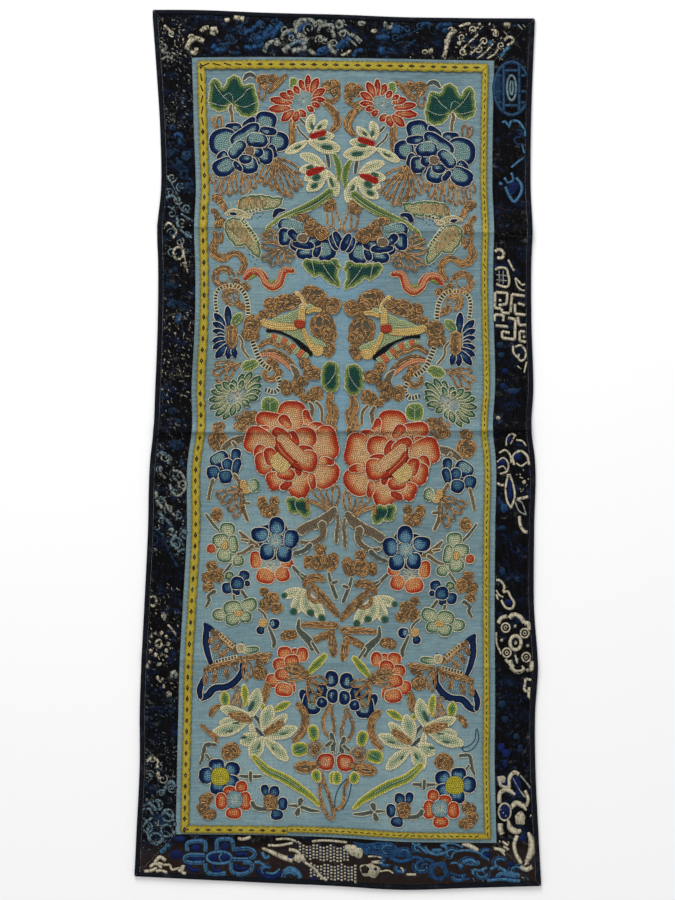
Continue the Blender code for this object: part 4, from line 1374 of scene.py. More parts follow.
# Navy ray flower, chains, green and cream chrysanthemum, buds, leaves and gilt clouds.
def sewMiddle():
    shift(0, 2)
    rays([(229, 327, 227.6, 306.8, 8), (225, 325.4, 214.8, 314, 7.8), (224.6, 328.8, 213.2, 323, 7),
          (224.6, 332.5, 213.2, 331, 6.4), (224.6, 335.5, 217, 335.5, 5.4), (224.6, 338, 213, 341.4, 6.6),
          (225.6, 342, 213.4, 348.6, 7.2), (227, 344.8, 216.4, 357.6, 8), (229.6, 346, 228, 359, 7.4),
          (233.4, 346, 235.2, 357.6, 7)], "navySolid", 6)
    goldRun([232, 327, 232, 345.5], 10.5)
    rays([(232.5, 324, 241.4, 314.4, 9.5)], "leafPale", 9)
    veins([[233.5, 323, 240, 316]])
    twig([238.4, 335.5, 242.4, 341.4, 242.8, 349.3, 249.3, 358.2], 3)
    gold([(252.3, 323.6, 18, 17), (250.5, 335, 19, 11, -15)])
    beads([252.4, 341, 256.2, 351.3, 261.2, 362.2, 271.1, 370], 4.8)
    goldRun([264, 371, 266.5, 378, 273, 379.4, 277, 374, 276.6, 367], (5, 6, 6, 6, 4))
    beads([278, 377, 280.6, 385.5, 275, 392, 266, 390], 4.8)
    leaf([241, 368, 244, 362.4, 251, 359.6, 258.4, 361, 257.4, 367, 250, 371.4, 244, 371], "leafPale")
    veins([[243, 369, 257.4, 362]])
    goldLoops((241, 362.4), [(216, 364.5, 9), (213.5, 373, 9.5), (217.5, 382, 9), (226, 380.5, 8)], 9)
    # green and cream chrysanthemum
    shift(0, 2)
    hub = (237.4, 396.6)
    tips = ((224, 419.4), (216, 415.9), (210.6, 408.8), (209.4, 400.2), (211.4, 391.3), (215.6, 385.6),
            (223.2, 382.4), (233.2, 380.2), (242.9, 374.4), (251.6, 372.6), (260.2, 376.6), (260.6, 384.9),
            (260, 391), (258, 398), (249, 405.6), (238.4, 411.4), (231.6, 415.4))
    rays([(hub[0] * 0.6 + x * 0.4, hub[1] * 0.6 + y * 0.4, x, y, 7.8) for x, y in tips], "ray", 7.8)
    rays([(235, 391, 230.4, 384.5, 6), (239, 389.4, 243.4, 380.5, 6.4)], "greenRay", 6)
    star(*hub, 9, 22, "cream")
    petals([(270.1, 406, 18, 18)], "leafPale", (270, 406))
    veins([[270.1, 397.5, 270.1, 414.5], [270.1, 404, 264, 400.5], [270.1, 404, 276, 400.5]])
    gold([(286.5, 388, 12, 17, 15), (297.8, 388.4, 12, 19), (315.5, 394, 17, 15), (303, 381, 12, 9),
          (306, 399, 12, 8)])
    leaf([321.5, 384, 321.5, 371, 325.4, 363, 333, 361.6, 338, 365, 339.3, 375, 338.6, 388, 332, 393,
          325.4, 390.5], "leafDark")
    veins([[336, 364, 334.5, 374, 328, 383.5, 322.5, 387]])
    goldRun([331, 394, 329.5, 404, 333, 412, 330.4, 424, 334, 431], (7, 9, 12, 12, 9))
    twig([309.5, 403, 312.5, 409, 311, 418, 310.6, 425], (4, 5, 4, 3.4),
         [((316, 402, 321.5, 409, 322, 422), 3.6)])
    goldLoops((262, 419), [(236, 418, 9), (234.5, 427, 9), (243, 431, 8)], 9)
    gold([(249, 418, 22, 13, 15), (243, 425, 16, 11, 30)])
    gold([(218.5, 427, 14, 10, 20), (218, 441, 20, 19)])


# The large red peony: petals from the back to the front.
def sewPeony():
    shift(0, 6)
    heart = (283, 458)
    twig([246, 437, 238, 440, 230, 443, 223, 449], (5, 9, 7, 6), [((233, 442, 236.4, 447), 4)])
    goldLoops((332, 512), [(312, 488, 9), (320, 485, 9), (328, 483.5, 9), (336.4, 486, 9)], 9)
    base(289, 450, 70, 66, "peonyUnder")
    petals([(291.8, 415.6, 28, 31, -6), (307.6, 419.4, 9, 19, 16)], "peony", heart, 4.5, 3)
    petals([(271.4, 421.6, 31, 19, -16), (285.4, 421.6, 17, 11, -50)], "peony", heart, 3.5, 3)
    petals([(264.1, 429.4, 14, 8, -8), (315.5, 425.8, 15, 8, 8), (258.6, 440.2, 31, 26, -8),
            (325, 443.8, 28, 34, 0)], "peony", heart, 5.0, 3)
    petals([(305.2, 438, 23, 22, 8)], "peony", (294, 449), 5.0)
    petals([(295, 438.4, 8, 17, 22), (306.4, 449.6, 16, 8.4, -15)], "peony", (285, 462), 1.0)
    petals([(260.6, 452, 16, 14, 45), (325, 474.8, 29, 26, 12), (326.4, 461, 16, 8.4, -10)], "peony", heart,
           5.0, 3)
    petals([(263.8, 463, 18, 23, 8)], "peony", heart, 4.0)
    petals([(275, 480.6, 18, 19, 20), (298.8, 484, 26, 28, -8), (312.2, 480.8, 8, 17, 10)], "peony",
           (291, 470), 4.5, 3)
    petals([(286, 485.6, 14, 8, 28), (298.4, 471, 7, 11, 20)], "peony", (291, 470), 0.5)
    petals([(308, 461, 20, 22, -10)], "peony", (294, 450), 4.0)
    petals([(270.4, 456.4, 13, 19, 12)], "peony", (280, 462), 3.0)
    petals([(286.2, 474.2, 19, 13, -8)], "peony", (283, 464), 4.0)
    petals([(281.9, 461.6, 20, 22, -40)], "peonyHeart", (280, 462), edge=None)
    petals([(281.8, 434.8, 22, 12, -32)], "peony", (290, 444), 2.5)
    strip([280, 437, 288, 445.6, 296.4, 453.4, 305, 461], (9, 12, 13, 9), "peonyPale", edge=None)
    strip([277.6, 443.4, 281.4, 450.6, 288.8, 458.2, 295.2, 464.6, 300.6, 468.6], (5.6, 6.6, 6, 5.4, 3),
          "redRibbon", edge=None)
    veins([[305.5, 424, 312, 427, 318, 432, 319, 426]], "cream", 0.2)
    # leaf below, branches and clusters around
    shift(0, 4)
    leaf([286.6, 499, 292, 496.4, 297.6, 498.4, 304, 498, 309, 500.5, 310.6, 508, 309.6, 515.6,
          304.6, 517.6, 297.6, 513.4, 291, 513.5, 287.4, 507], "leafDark")
    veins([[298, 497.6, 295, 503, 297.4, 510, 303.4, 517]])
    strip([307, 500.6, 307.2, 509], 2.4, "orange", edge=None)
    base(225, 464, 20, 20, "navyUnder")
    petals([(219.6, 459.6, 20, 16, 28)], "navy", (212, 450), 3.0)
    petals([(236, 454.6, 10.5, 13, -10), (228, 464.8, 12, 13, 25), (236.8, 466, 9, 16, -15),
            (213, 472.6, 13, 14, 0), (225.6, 476.8, 14, 14, 10)], "navySolid", (226, 464), 1.8)
    twig([213.4, 479, 210.5, 489, 208.3, 500], (4, 4, 3.4))
    twig([234.5, 474.4, 238.4, 481, 241, 489], (4, 4, 4))
    twig([242.6, 497, 243, 508, 248, 521], (6, 5, 4), [((244, 503, 250, 503.6), 3.6)])
    goldLoops((242, 489), [(217, 494.6, 9), (222, 502.5, 9), (229, 509.6, 9), (235, 516.4, 10), (239, 507, 9),
                           (229, 491, 8)], 8)
    petals([(243.4, 484.6, 7, 10), (246.6, 489.6, 8, 9)], "apricot", (245, 487), edge=None)
    petals([(254, 485.4, 11.5, 13.5)], "creamGreen", (247, 486), 2.0)
    gold([(216.7, 514.9, 12, 15), (262.4, 503, 11, 14, 10), (274.5, 501, 10, 10, 30), (270, 511, 19, 13, 5)])
    goldRun([307, 500, 318, 504, 328, 511], 4)


# Branches and their blossoms, a plum blossom, small buds, and a drooping orchid.
def sewBranches():
    shift(0, 4)
    twig([335, 509, 330.4, 515, 321, 522, 309, 526, 299.6, 531.4], (7, 11, 11, 9, 9.5),
         [((322, 523, 323.4, 534, 318.4, 540, 310, 543.6, 300.7, 541.4), (9, 7, 6, 5.4, 3.4))])
    twig([311, 544.6, 303.7, 550.6, 294, 553.6], (6, 5, 4.6), (), "branchGreen")
    twig([337.2, 514, 338, 524, 336.6, 534, 336.4, 543], (3, 4, 4.4, 3.4))
    twig([205.8, 514, 213.7, 524.8, 220.5, 532], (3, 3.6, 3), (), "branchGreen")
    # blossoms on the left
    petals([(238.4, 560.6, 12, 12), (227.6, 529.6, 16, 15), (220.6, 540.6, 17, 15, 10),
            (224.6, 555.2, 16, 15), (233.2, 544.4, 11, 19, 5)], "creamGreen", (226, 545), 1.6)
    petals([(225, 545.6, 6, 9)], "apricot", (224, 545), edge=None)
    petals([(211.3, 548.6, 9.5, 9.5)], "coralBud", (216, 548), 1.5)
    twig([239.4, 531.4, 246.4, 538.7, 254.3, 545, 260, 546], (3, 5.4, 6, 5),
         [((253.3, 546, 243.4, 552.5, 237, 554), (5, 4, 3)), ((241, 540, 249, 541), 3)])
    petals([(255.8, 560, 12, 18, 6), (265.5, 576, 19, 15.6, -14), (282.5, 574, 15, 15.6, 20),
            (287, 562.4, 13, 10.6)], "coral", (270.6, 566.3), 3.0)
    star(270.4, 566, 8, 20, "cream")
    base(275, 541, 20, 20, "navyUnder")
    petals([(267.7, 528.5, 13, 8), (284.5, 530.2, 6, 12), (263.5, 542.8, 10, 9.4), (276.8, 525.8, 16, 18),
            (259.8, 534.4, 18, 15), (274.1, 555.4, 7.4, 10), (267, 552, 15, 17), (284.5, 553.5, 16, 18),
            (291.4, 538.8, 15, 19, -10)], "plum", (275.4, 541), 3.4)
    petals([(275.4, 541, 13.6, 13.6)], "paleHeart", (275, 541), edge=None)
    star(275.6, 541.1, 9.5, 24, "cream")
    gold([(308.8, 562, 11, 14), (320.5, 549.8, 12, 11), (332.3, 562, 12, 20), (320, 562, 19, 17, 10)])
    twig([292.6, 566.3, 299.7, 574.3, 304.7, 582.6], (4, 4, 3), [((300.7, 573.6, 307.4, 577.6), 3)],
         "branchGreen")
    twig([328.4, 572.6, 331.2, 583.2, 336.6, 598.4], (3.4, 4.4, 4.4), [((332, 583, 337, 581.4), 4)],
         "branchGreen")
    gold([(212, 566, 12, 11), (208.4, 577, 14, 12), (218.6, 575.4, 13, 15), (208.6, 587, 12, 10)])
    twig([231.5, 563.4, 223.6, 573.6], 3, (), "branchGreen")
    petals([(229.5, 575.6, 9.5, 9)], "greenRay", (229, 576))
    petals([(244.4, 575.4, 11.4, 11), (247.4, 583.4, 6.4, 7), (227.6, 588, 12, 12), (236.6, 590.4, 9, 10),
            (237.4, 583, 14, 13.6)], "navySolid", (238, 584), 1.4)
    twig([233.6, 594.6, 234.6, 600], 3.4, (), "branchGreen")
    twig([241.6, 590.6, 247.4, 599], 4, (), "branchGreen")
    twig([215.4, 591, 208.2, 595.6, 209.6, 600, 205.8, 607], (5, 3.6, 4, 3), (), "branchGreen")
    petals([(219.7, 614.6, 15, 13), (249.2, 604.8, 17, 14, 20), (232.5, 607.2, 19, 14, 8),
            (232.5, 619.4, 15, 13), (245.4, 616.6, 13.6, 12)], "creamGreen", (238.4, 612.8), 1.6)
    petals([(238.6, 613.4, 10, 5.6, 8)], "apricot", (239, 613), edge=None)
    gold([(264.1, 591.4, 10, 9), (271.4, 598.4, 16, 13), (264.6, 605.6, 11, 14), (277, 608, 13, 11)])
    blades([(303, 589.6, 283, 595.8, 10), (302, 589, 293.4, 613.4, 13), (304, 590, 310.6, 614.8, 13),
            (309, 594, 323, 620.4, 11)], "orchid")
    spots([(284.4, 595.4, 6, 6, 10), (293.6, 611.4, 7.6, 7, -20), (310.6, 612.6, 7.6, 7, 0),
           (321.8, 617.8, 6.6, 7.6, 25)], "deepGreen")
    goldRun([304.4, 586.4, 307.6, 581, 312.6, 577.8, 319, 577.4, 324, 580], (5, 8, 9, 8.5, 6))
    goldRun([312.4, 585, 321.5, 596, 330.4, 606, 337.6, 615.4], (6, 9, 9, 6))
    goldRun([309.4, 588.4, 308.4, 596, 314, 601, 321, 600.4], 4)
    petals([(274.4, 623.7, 11, 11)], "navy", (268, 623), 3.0)
    petals([(260.7, 630.1, 9, 9)], "navySolid", (264, 626), 1.0)
    petals([(262.9, 622.6, 9, 9)], "apricot", (262, 622), edge=None)
    twig([258.2, 608.9, 264, 614, 266.6, 619], 3, (), "branchGreen")
    twig([268.6, 626, 272.6, 636, 274.6, 642, 273.6, 647], (3, 4, 5, 4.6), (), "branchGreen")
    gold([(289, 634.8, 18, 11, 8)])
    goldRun([302, 624.4, 318, 624.6, 337, 625.6], (5, 7.4, 7))
    goldRun([311.6, 642, 321, 637, 333, 632], (6, 8, 7))
    goldRun([331, 633, 332.6, 643, 333.6, 655], (6, 9, 7))
    twig([298.9, 619, 298.6, 629, 305, 636.4, 310.4, 642.6, 312.6, 650.6], (3, 5, 7.4, 8, 4.6),
         [((312, 642, 319, 653.6), 3.4)], "branchGreen")


# Navy-edged butterfly with gilt ribs, and the clusters beside it.
def sewLowerButterfly():
    shift(3, 4.4)
    leaf([209, 629, 216, 633, 226, 641, 237, 652, 226, 657, 214, 661, 210, 655, 207.4, 643], "wingBlue",
         edge=None)
    strip([204.2, 622.8, 206.4, 630.6, 205.8, 641.2, 207.6, 651.9, 211.2, 663], (2.6, 7.2, 7, 6.6, 5.4),
          "navySolid")
    strip([204.6, 624, 209, 627.6, 214.6, 631.4], (4, 6.6, 4), "navySolid", edge=None)
    leaf([239, 662, 238, 674, 230, 682, 216, 684.5, 206, 690, 203, 686, 205, 674, 220, 668], "wingBlue",
         edge=None)
    strip([241.6, 663, 242, 671.4, 236, 680.6, 226.6, 686.6, 214.8, 688, 208, 695, 201, 698.6],
          (4.4, 7, 7.4, 7.4, 7.4, 8, 6), "navySolid")
    strip([200.6, 698, 199.8, 690, 202.8, 678], (5, 7, 3.6), "navySolid")
    goldRun([212.4, 631, 222, 637.4, 229, 643.4, 237, 651.5], (5.4, 7.4, 7.4, 6))
    goldRun([242, 658, 232, 661.4, 219, 665, 205, 670], (6, 7.4, 7.4, 6))
    for bx, by, tx, ty in ((216, 636, 209.6, 642.8), (222, 641, 214, 651), (229, 648, 219, 655.6),
                           (206.6, 670, 205.4, 684), (215, 668, 214, 682), (226, 665, 227.4, 678),
                           (234, 662, 235.6, 669)):
        goldLoops((bx, by), [(tx, ty, 5.6)], 5.6)
    goldLoops((243, 656), [(246, 679, 9), (251, 676, 8)], 8)
    gold([(259.6, 672.6, 15, 14), (262, 660, 14, 10, 20)])
    goldRun([246, 657.4, 255, 656.6, 263.8, 655, 271.5, 655], (5, 5, 6, 4))
    beads([219.6, 633.6, 227.2, 640.6, 234.6, 647.4], 3.2)
    beads([215.6, 661.6, 226.1, 659, 237, 656.4], 3.2)
    petals([(250.6, 649.8, 18, 8, 4)], "creamGreen", (240, 650), 1.5)
    petals([(241, 648, 8.4, 9)], "cream", (241, 648))
    for x, y in ((232, 644), (235, 643.4), (242.6, 642.4), (229, 640)):
        lay(at(x, y) + np.array([[-0.6, 0], [0, 0.1], [0.6, 0]]), "ink", 0.4, 0.2, 0.5)
    # coral cluster and navy group
    shift(2.4, 1.4)
    strip([308.6, 672.6, 316.4, 664.4, 325.6, 655], (5.4, 9, 6), "leafYellow")
    petals([(294.6, 651.6, 8, 8), (302.4, 654.4, 12, 15, -8), (284.5, 653, 14, 14), (279.2, 664, 13, 13),
            (292, 660.8, 15, 13), (273.3, 680.4, 15.4, 14), (292.4, 687.2, 7, 11),
            (283.9, 689.4, 18, 14, -10), (281.8, 674.4, 14, 13)], "coral", (292, 671), 2.4)
    goldRun([287.6, 668, 296, 669, 304, 673.4, 310, 678.6], (8, 13, 9, 4))
    goldLoops((307, 678), [(287, 679.4, 7)], 7)
    petals([(331.7, 678.8, 14, 17), (322.8, 691, 11, 15, 15), (332.6, 695.8, 11.6, 15),
            (303.4, 695.6, 8.4, 14, 15), (312, 702.8, 19, 24), (322, 702.4, 11, 11, -20)], "navy", (319, 690),
           1.6)
    goldLoops((307, 677.6), [(312.6, 702, 10), (326, 682, 9), (320.6, 693.4, 9)], 8)


# Lilies, long leaves and small sprays down to the foot, with what only one half has.
def sewLilies():
    shift(3, 3.6)
    goldLoops((240, 687), [(231.6, 708, 6), (239.6, 708.6, 6), (233.4, 689, 5)], 6)
    goldRun([267.8, 683.4, 266, 692, 264.6, 701.5], (7, 9, 5))
    goldRun([297.6, 704, 303.6, 711, 305.4, 720.3, 302, 732, 293.6, 741], (7, 8, 8, 8, 6))
    blades([(226, 708, 224.4, 691.6, 10), (245, 706, 244, 684.6, 7.4), (265, 712, 260, 703, 6),
            (273, 711.6, 289.6, 702.6, 8)], "leafYellow")
    strip([254, 715.6, 257.6, 719, 261.4, 725], 4.4, "slate")
    strip([255.6, 728, 259.6, 732, 263.4, 736.6], 4.4, "slate")
    blades([(251.4, 716, 257.6, 690, 13.6), (250.6, 715.6, 221.8, 708, 11), (247, 720, 220.4, 723, 11),
            (248, 721.4, 213.6, 732.4, 12.6), (251, 720, 256, 741, 6.4)], "lily")
    spots([(251.4, 706, 4.4, 12, -26), (236, 722.6, 8, 2.2, 5), (229.6, 731, 9, 2, 12)], "deepGreen")
    goldRun([230.4, 714, 240, 716.6, 251, 720], (6, 10, 6))
    blades([(263.4, 730, 271, 706.6, 14), (265.4, 731, 286.4, 715, 11), (266.4, 736.6, 296, 728, 12.4),
            (256, 733.6, 242, 742.4, 14), (262.6, 737.6, 252, 757, 15), (264.6, 738, 287, 759.6, 12)], "lily")
    spots([(284.6, 733.4, 9, 1.8, 8), (244, 737, 6, 3, 10), (259, 746, 2.2, 7, -30), (273, 748, 1.8, 6, 35)],
          "deepGreen")
    goldRun([266, 732.6, 274.6, 727.6, 282, 722], (6, 9, 7))
    petals([(313.4, 732.4, 11, 16, 10), (300, 749, 17, 14, 5)], "leafYellow", (307, 741))
    veins([[294, 752, 306, 746]], "cream", 0.2)
    a = np.linspace(0.3, 2 * np.pi + 0.3, 22)
    goldRun([(315.7 + 7.4 * np.cos(v), 749 + 7 * np.sin(v)) for v in a], 3.4)
    gold([(315.7, 749, 10, 9)])
    goldLoops((331, 704), [(330.4, 735, 15)], 15, 3)
    twig([331.3, 733.3, 333, 742, 333, 754], (5, 6, 5), [((332, 741, 325.6, 746), 4)], "branchGreen")
    goldRun([219.6, 705, 214, 709, 210.7, 715], (4, 7, 6))
    placing["sides"] = ("Left",)
    goldRun([201.6, 724.6, 208, 731, 215, 736.6, 216, 741], (4, 4, 5, 6))
    placing["sides"] = ("Right",)
    for line in ([(199.4, 717), (197.4, 728), (203, 737.6), (210.4, 740.4), (214, 737)],
                 [(200.4, 718), (201.2, 728), (206.6, 734.4), (214, 737)]):
        lay(curve(onPanel(line), 0.6), "ink", 0.36, 0.16)
    placing["sides"] = ("Left", "Right")
    twig([216, 744.6, 206.4, 744, 204, 751, 203, 757, 199.9, 764], (4.4, 4, 4.4, 4.6, 2.6),
         [((205.6, 753.7, 211, 760), 3)], "branchGreen")
    gold([(230.8, 751, 20, 17)])
    # long leaf and small sprays along the bottom
    shift(3.6, 1.4)
    strip([253.4, 756, 261, 764, 268.4, 770.6, 284.3, 778, 299.2, 787.5, 311.7, 796.8, 319.6, 805.5],
          (6, 8.4, 9, 9.4, 8.6, 6.4, 4), "leafYellow")
    veins([[255, 757.6, 268, 769.6, 284.6, 777.6, 300, 788]])
    petals([(216.6, 764.6, 15.5, 13), (232.5, 768.8, 15.5, 15), (231.4, 782, 17, 15), (217.9, 787, 16, 15),
            (205.9, 775, 14, 17)], "plum", (220, 776), 3.4)
    petals([(220.3, 776.2, 18.4, 18)], "yellowDisc", (220, 776), edge=None)
    petals([(229.8, 790.6, 13, 10), (241.8, 786.4, 12, 12), (245.6, 800.9, 12, 19), (233.9, 812.8, 16, 12),
            (221.4, 800.9, 12, 17)], "coral", (234, 799), 1.0)
    petals([(234.6, 799.4, 16, 17)], "paleHeart", (234, 799), edge=None)
    star(234.6, 799.6, 8, 20, "cream")
    gold([(206.6, 798.6, 15, 12, 20), (203.4, 808, 13, 13), (209, 814, 16, 11, 0)])
    twig([239.5, 775.6, 250.7, 776.4, 262.4, 776], (3, 5, 3), [((250.6, 771.4, 250.8, 781), 4)],
         "branchGreen")
    twig([252, 801.6, 255, 806.6, 260.4, 808.6, 268.1, 809.4], (5, 5, 5, 4), (), "branchGreen")
    twig([288.7, 805, 299.2, 806, 310.4, 809.8, 320, 811], (2.6, 4.4, 4.4, 2.6),
         [((299.4, 805, 301, 799), (4, 7)), ((299, 808, 297, 814), (4, 7))], "branchGreen")
    petals([(265, 789.6, 8.6, 12, 8), (274.6, 791, 11, 11.6), (283, 803.4, 10, 14), (276.9, 814.4, 13, 11)],
           "navySolid", (271, 802), 1.6)
    gold([(270.6, 802, 14, 16)])
    shift(0, 0)
    placing["sides"] = ("Left",)
    goldLoops((320.4, 771), [(331.4, 817.6, 13)], 13, 3)
    placing["sides"] = ("Right",)
    for line in ([(319, 772), (329.6, 784.6), (334.4, 797), (334.4, 810)],
                 [(318.4, 778.6), (321.4, 796), (327, 808.6)]):
        lay(curve(onPanel(line), 0.6), "ink", 0.36, 0.16)
    goldRun([319.6, 774, 325.4, 786, 325.6, 796, 328.4, 806, 333.6, 809], 3.6)
    placing["sides"] = ("Left", "Right")
    twig([333, 752, 330, 757], 3, (), "branchGreen")
    petals([(326, 761.4, 17.4, 17.4)], "cherry", (326, 762), 0)
    goldLoops((321, 763), [(296.6, 766.6, 13)], 13, 4)
    petals([(316.4, 775.6, 9.4, 12.6, 15), (333.4, 777.6, 8.6, 13)], "leafYellow", (325, 790))


# For each place: is it on the border, between the field's lines and the binding.
def borderSpan(points):
    near, far = 0.35, 0.5  # how far figures stay from the ribbons and from the binding
    x, y = points[:, 0], points[:, 1]
    inset = cloths["bindingWidth"] + far
    within = ((x > longLine("outerLeft")(y) + inset) & (x < longLine("outerRight")(y) - inset)
              & (y > shortLine("outerBottom")(x) + inset) & (y < shortLine("outerTop")(x) - inset))
    field = ((x > longLine("fieldLeft")(y) - near) & (x < longLine("fieldRight")(y) + near)
             & (y > shortLine("fieldBottom")(x) - near) & (y < shortLine("fieldTop")(x) + near))
    return within & ~field


# A low woven stroke on a border's face, with its width at equal shares of its length.
def strokeOn(heap, points, width, colour, wear, level, closed=False):
    line = evenly(curve(onPanel(points), 0.6, closed), 0.9, closed)
    widths = np.atleast_1d(width) * pixel
    half = np.interp(np.linspace(0, 1, len(line)), np.linspace(0, 1, max(2, len(widths))),
                     widths if len(widths) > 1 else [widths[0]] * 2) / 2
    foot = liftAt(line[:, 0], line[:, 1]) + cloths["border"] - sunk
    tone = np.array(hexColour(brocadeDyes[colour])[:3]) * draw.normal(1, 0.1, (len(line), 1))
    dye = np.column_stack([np.clip(tone, 0, 1), np.full(len(line), wear)])
    runs, whole = runsOf(borderSpan(line), closed)
    for run in runs:
        # Feet at 0.8 of the colour: a light painted shade, so that a woven stroke reads flat
        addRidge(heap, line[run], foot[run], half[run] * 1.15, 0.13 + 0.03 * level, dye[run], whole, 0.8)


# A low woven patch on a border's face.
def patchOn(heap, x, y, wide, high, turn, colour, wear, level):
    line = evenly(petal(*at(x, y), wide * pixel, high * pixel, turn, 5, 0.1), 1.0, True)
    if not borderSpan(line).all():
        return
    flat, faces = facesOf(line, len(line))
    foot = liftAt(flat[:, 0], flat[:, 1]) + cloths["border"]
    points = np.concatenate([np.column_stack([flat, foot + 0.08 + 0.03 * level]),
                             np.column_stack([flat, foot - 0.4])])
    rim, low = np.arange(len(line)), len(flat)
    following = (rim + 1) % len(line)
    walls = np.stack([rim, rim + low, following + low, following], axis=1)
    tone = np.array(hexColour(brocadeDyes[colour])[:3]) * draw.uniform(0.85, 1.15)
    dye = np.tile(np.append(np.clip(tone, 0, 1), wear), (len(points), 1))
    addParts(heap, points, dye, np.concatenate([faces, faces[:, ::-1] + low]), walls)


# The figures of one border. A row is a colour, then a width and points, or a place and size in photo pixels.
def weaveFigures(name, wear, bold, strokes, patches=(), rings=(), specks=(), curls=()):
    heap = newHeap()
    for k, (colour, x, y, wide, high, *turn) in enumerate(patches):
        patchOn(heap, x, y, wide, high, turn[0] if turn else 0.0, colour, wear, k % 5)
    for k, (colour, width, *points) in enumerate(strokes):
        strokeOn(heap, points, np.multiply(width, bold), colour, wear, 10 if colour == "deep" else 3 + k % 5)
    for colour, x, y, wide, high, width in rings:
        a = np.linspace(0, 2 * np.pi, 12, endpoint=False)
        strokeOn(heap, np.column_stack([x + wide / 2 * np.cos(a), y + high / 2 * np.sin(a)]), width * bold,
                 colour, wear, 8, True)
    for colour, x, y, radius, turn in curls:
        a = np.linspace(0, 7.5, 14)
        far = np.linspace(radius, radius * 0.25, 14)
        strokeOn(heap, np.column_stack([x + far * np.cos(a + turn), y + far * np.sin(a + turn)]), 1.2 * bold,
                 colour, wear, 5)
    for colour, x0, y0, x1, y1, count, size in specks:
        for _ in range(count):
            x, y = draw.uniform(x0, x1), draw.uniform(y0, y1)
            a, far = draw.normal(-0.9, 0.6), size * draw.uniform(0.5, 1.3)
            u, v = far * np.cos(a), far * np.sin(a)
            bend = draw.uniform(-0.4, 0.4)
            points = ((x - u, y + v), (x - v * bend, y - u * bend), (x + u, y - v))
            strokeOn(heap, points, draw.uniform(0.7, 1.6), colour, min(1.0, wear + 0.25), draw.integers(0, 6))
    return heapMesh(name, heap, figureWeave)


sunk = 0.04  # how deep a stroke's feet stand in the cloth
brocadeDyes = {"blue": "#20446a", "steel": "#27425e", "deep": "#122150", "dim": "#182f48", "light": "#3f6a8a",
               "cream": "#b5ad95", "grey": "#858a80", "greyBlue": "#627880", "brown": "#2a211c"}


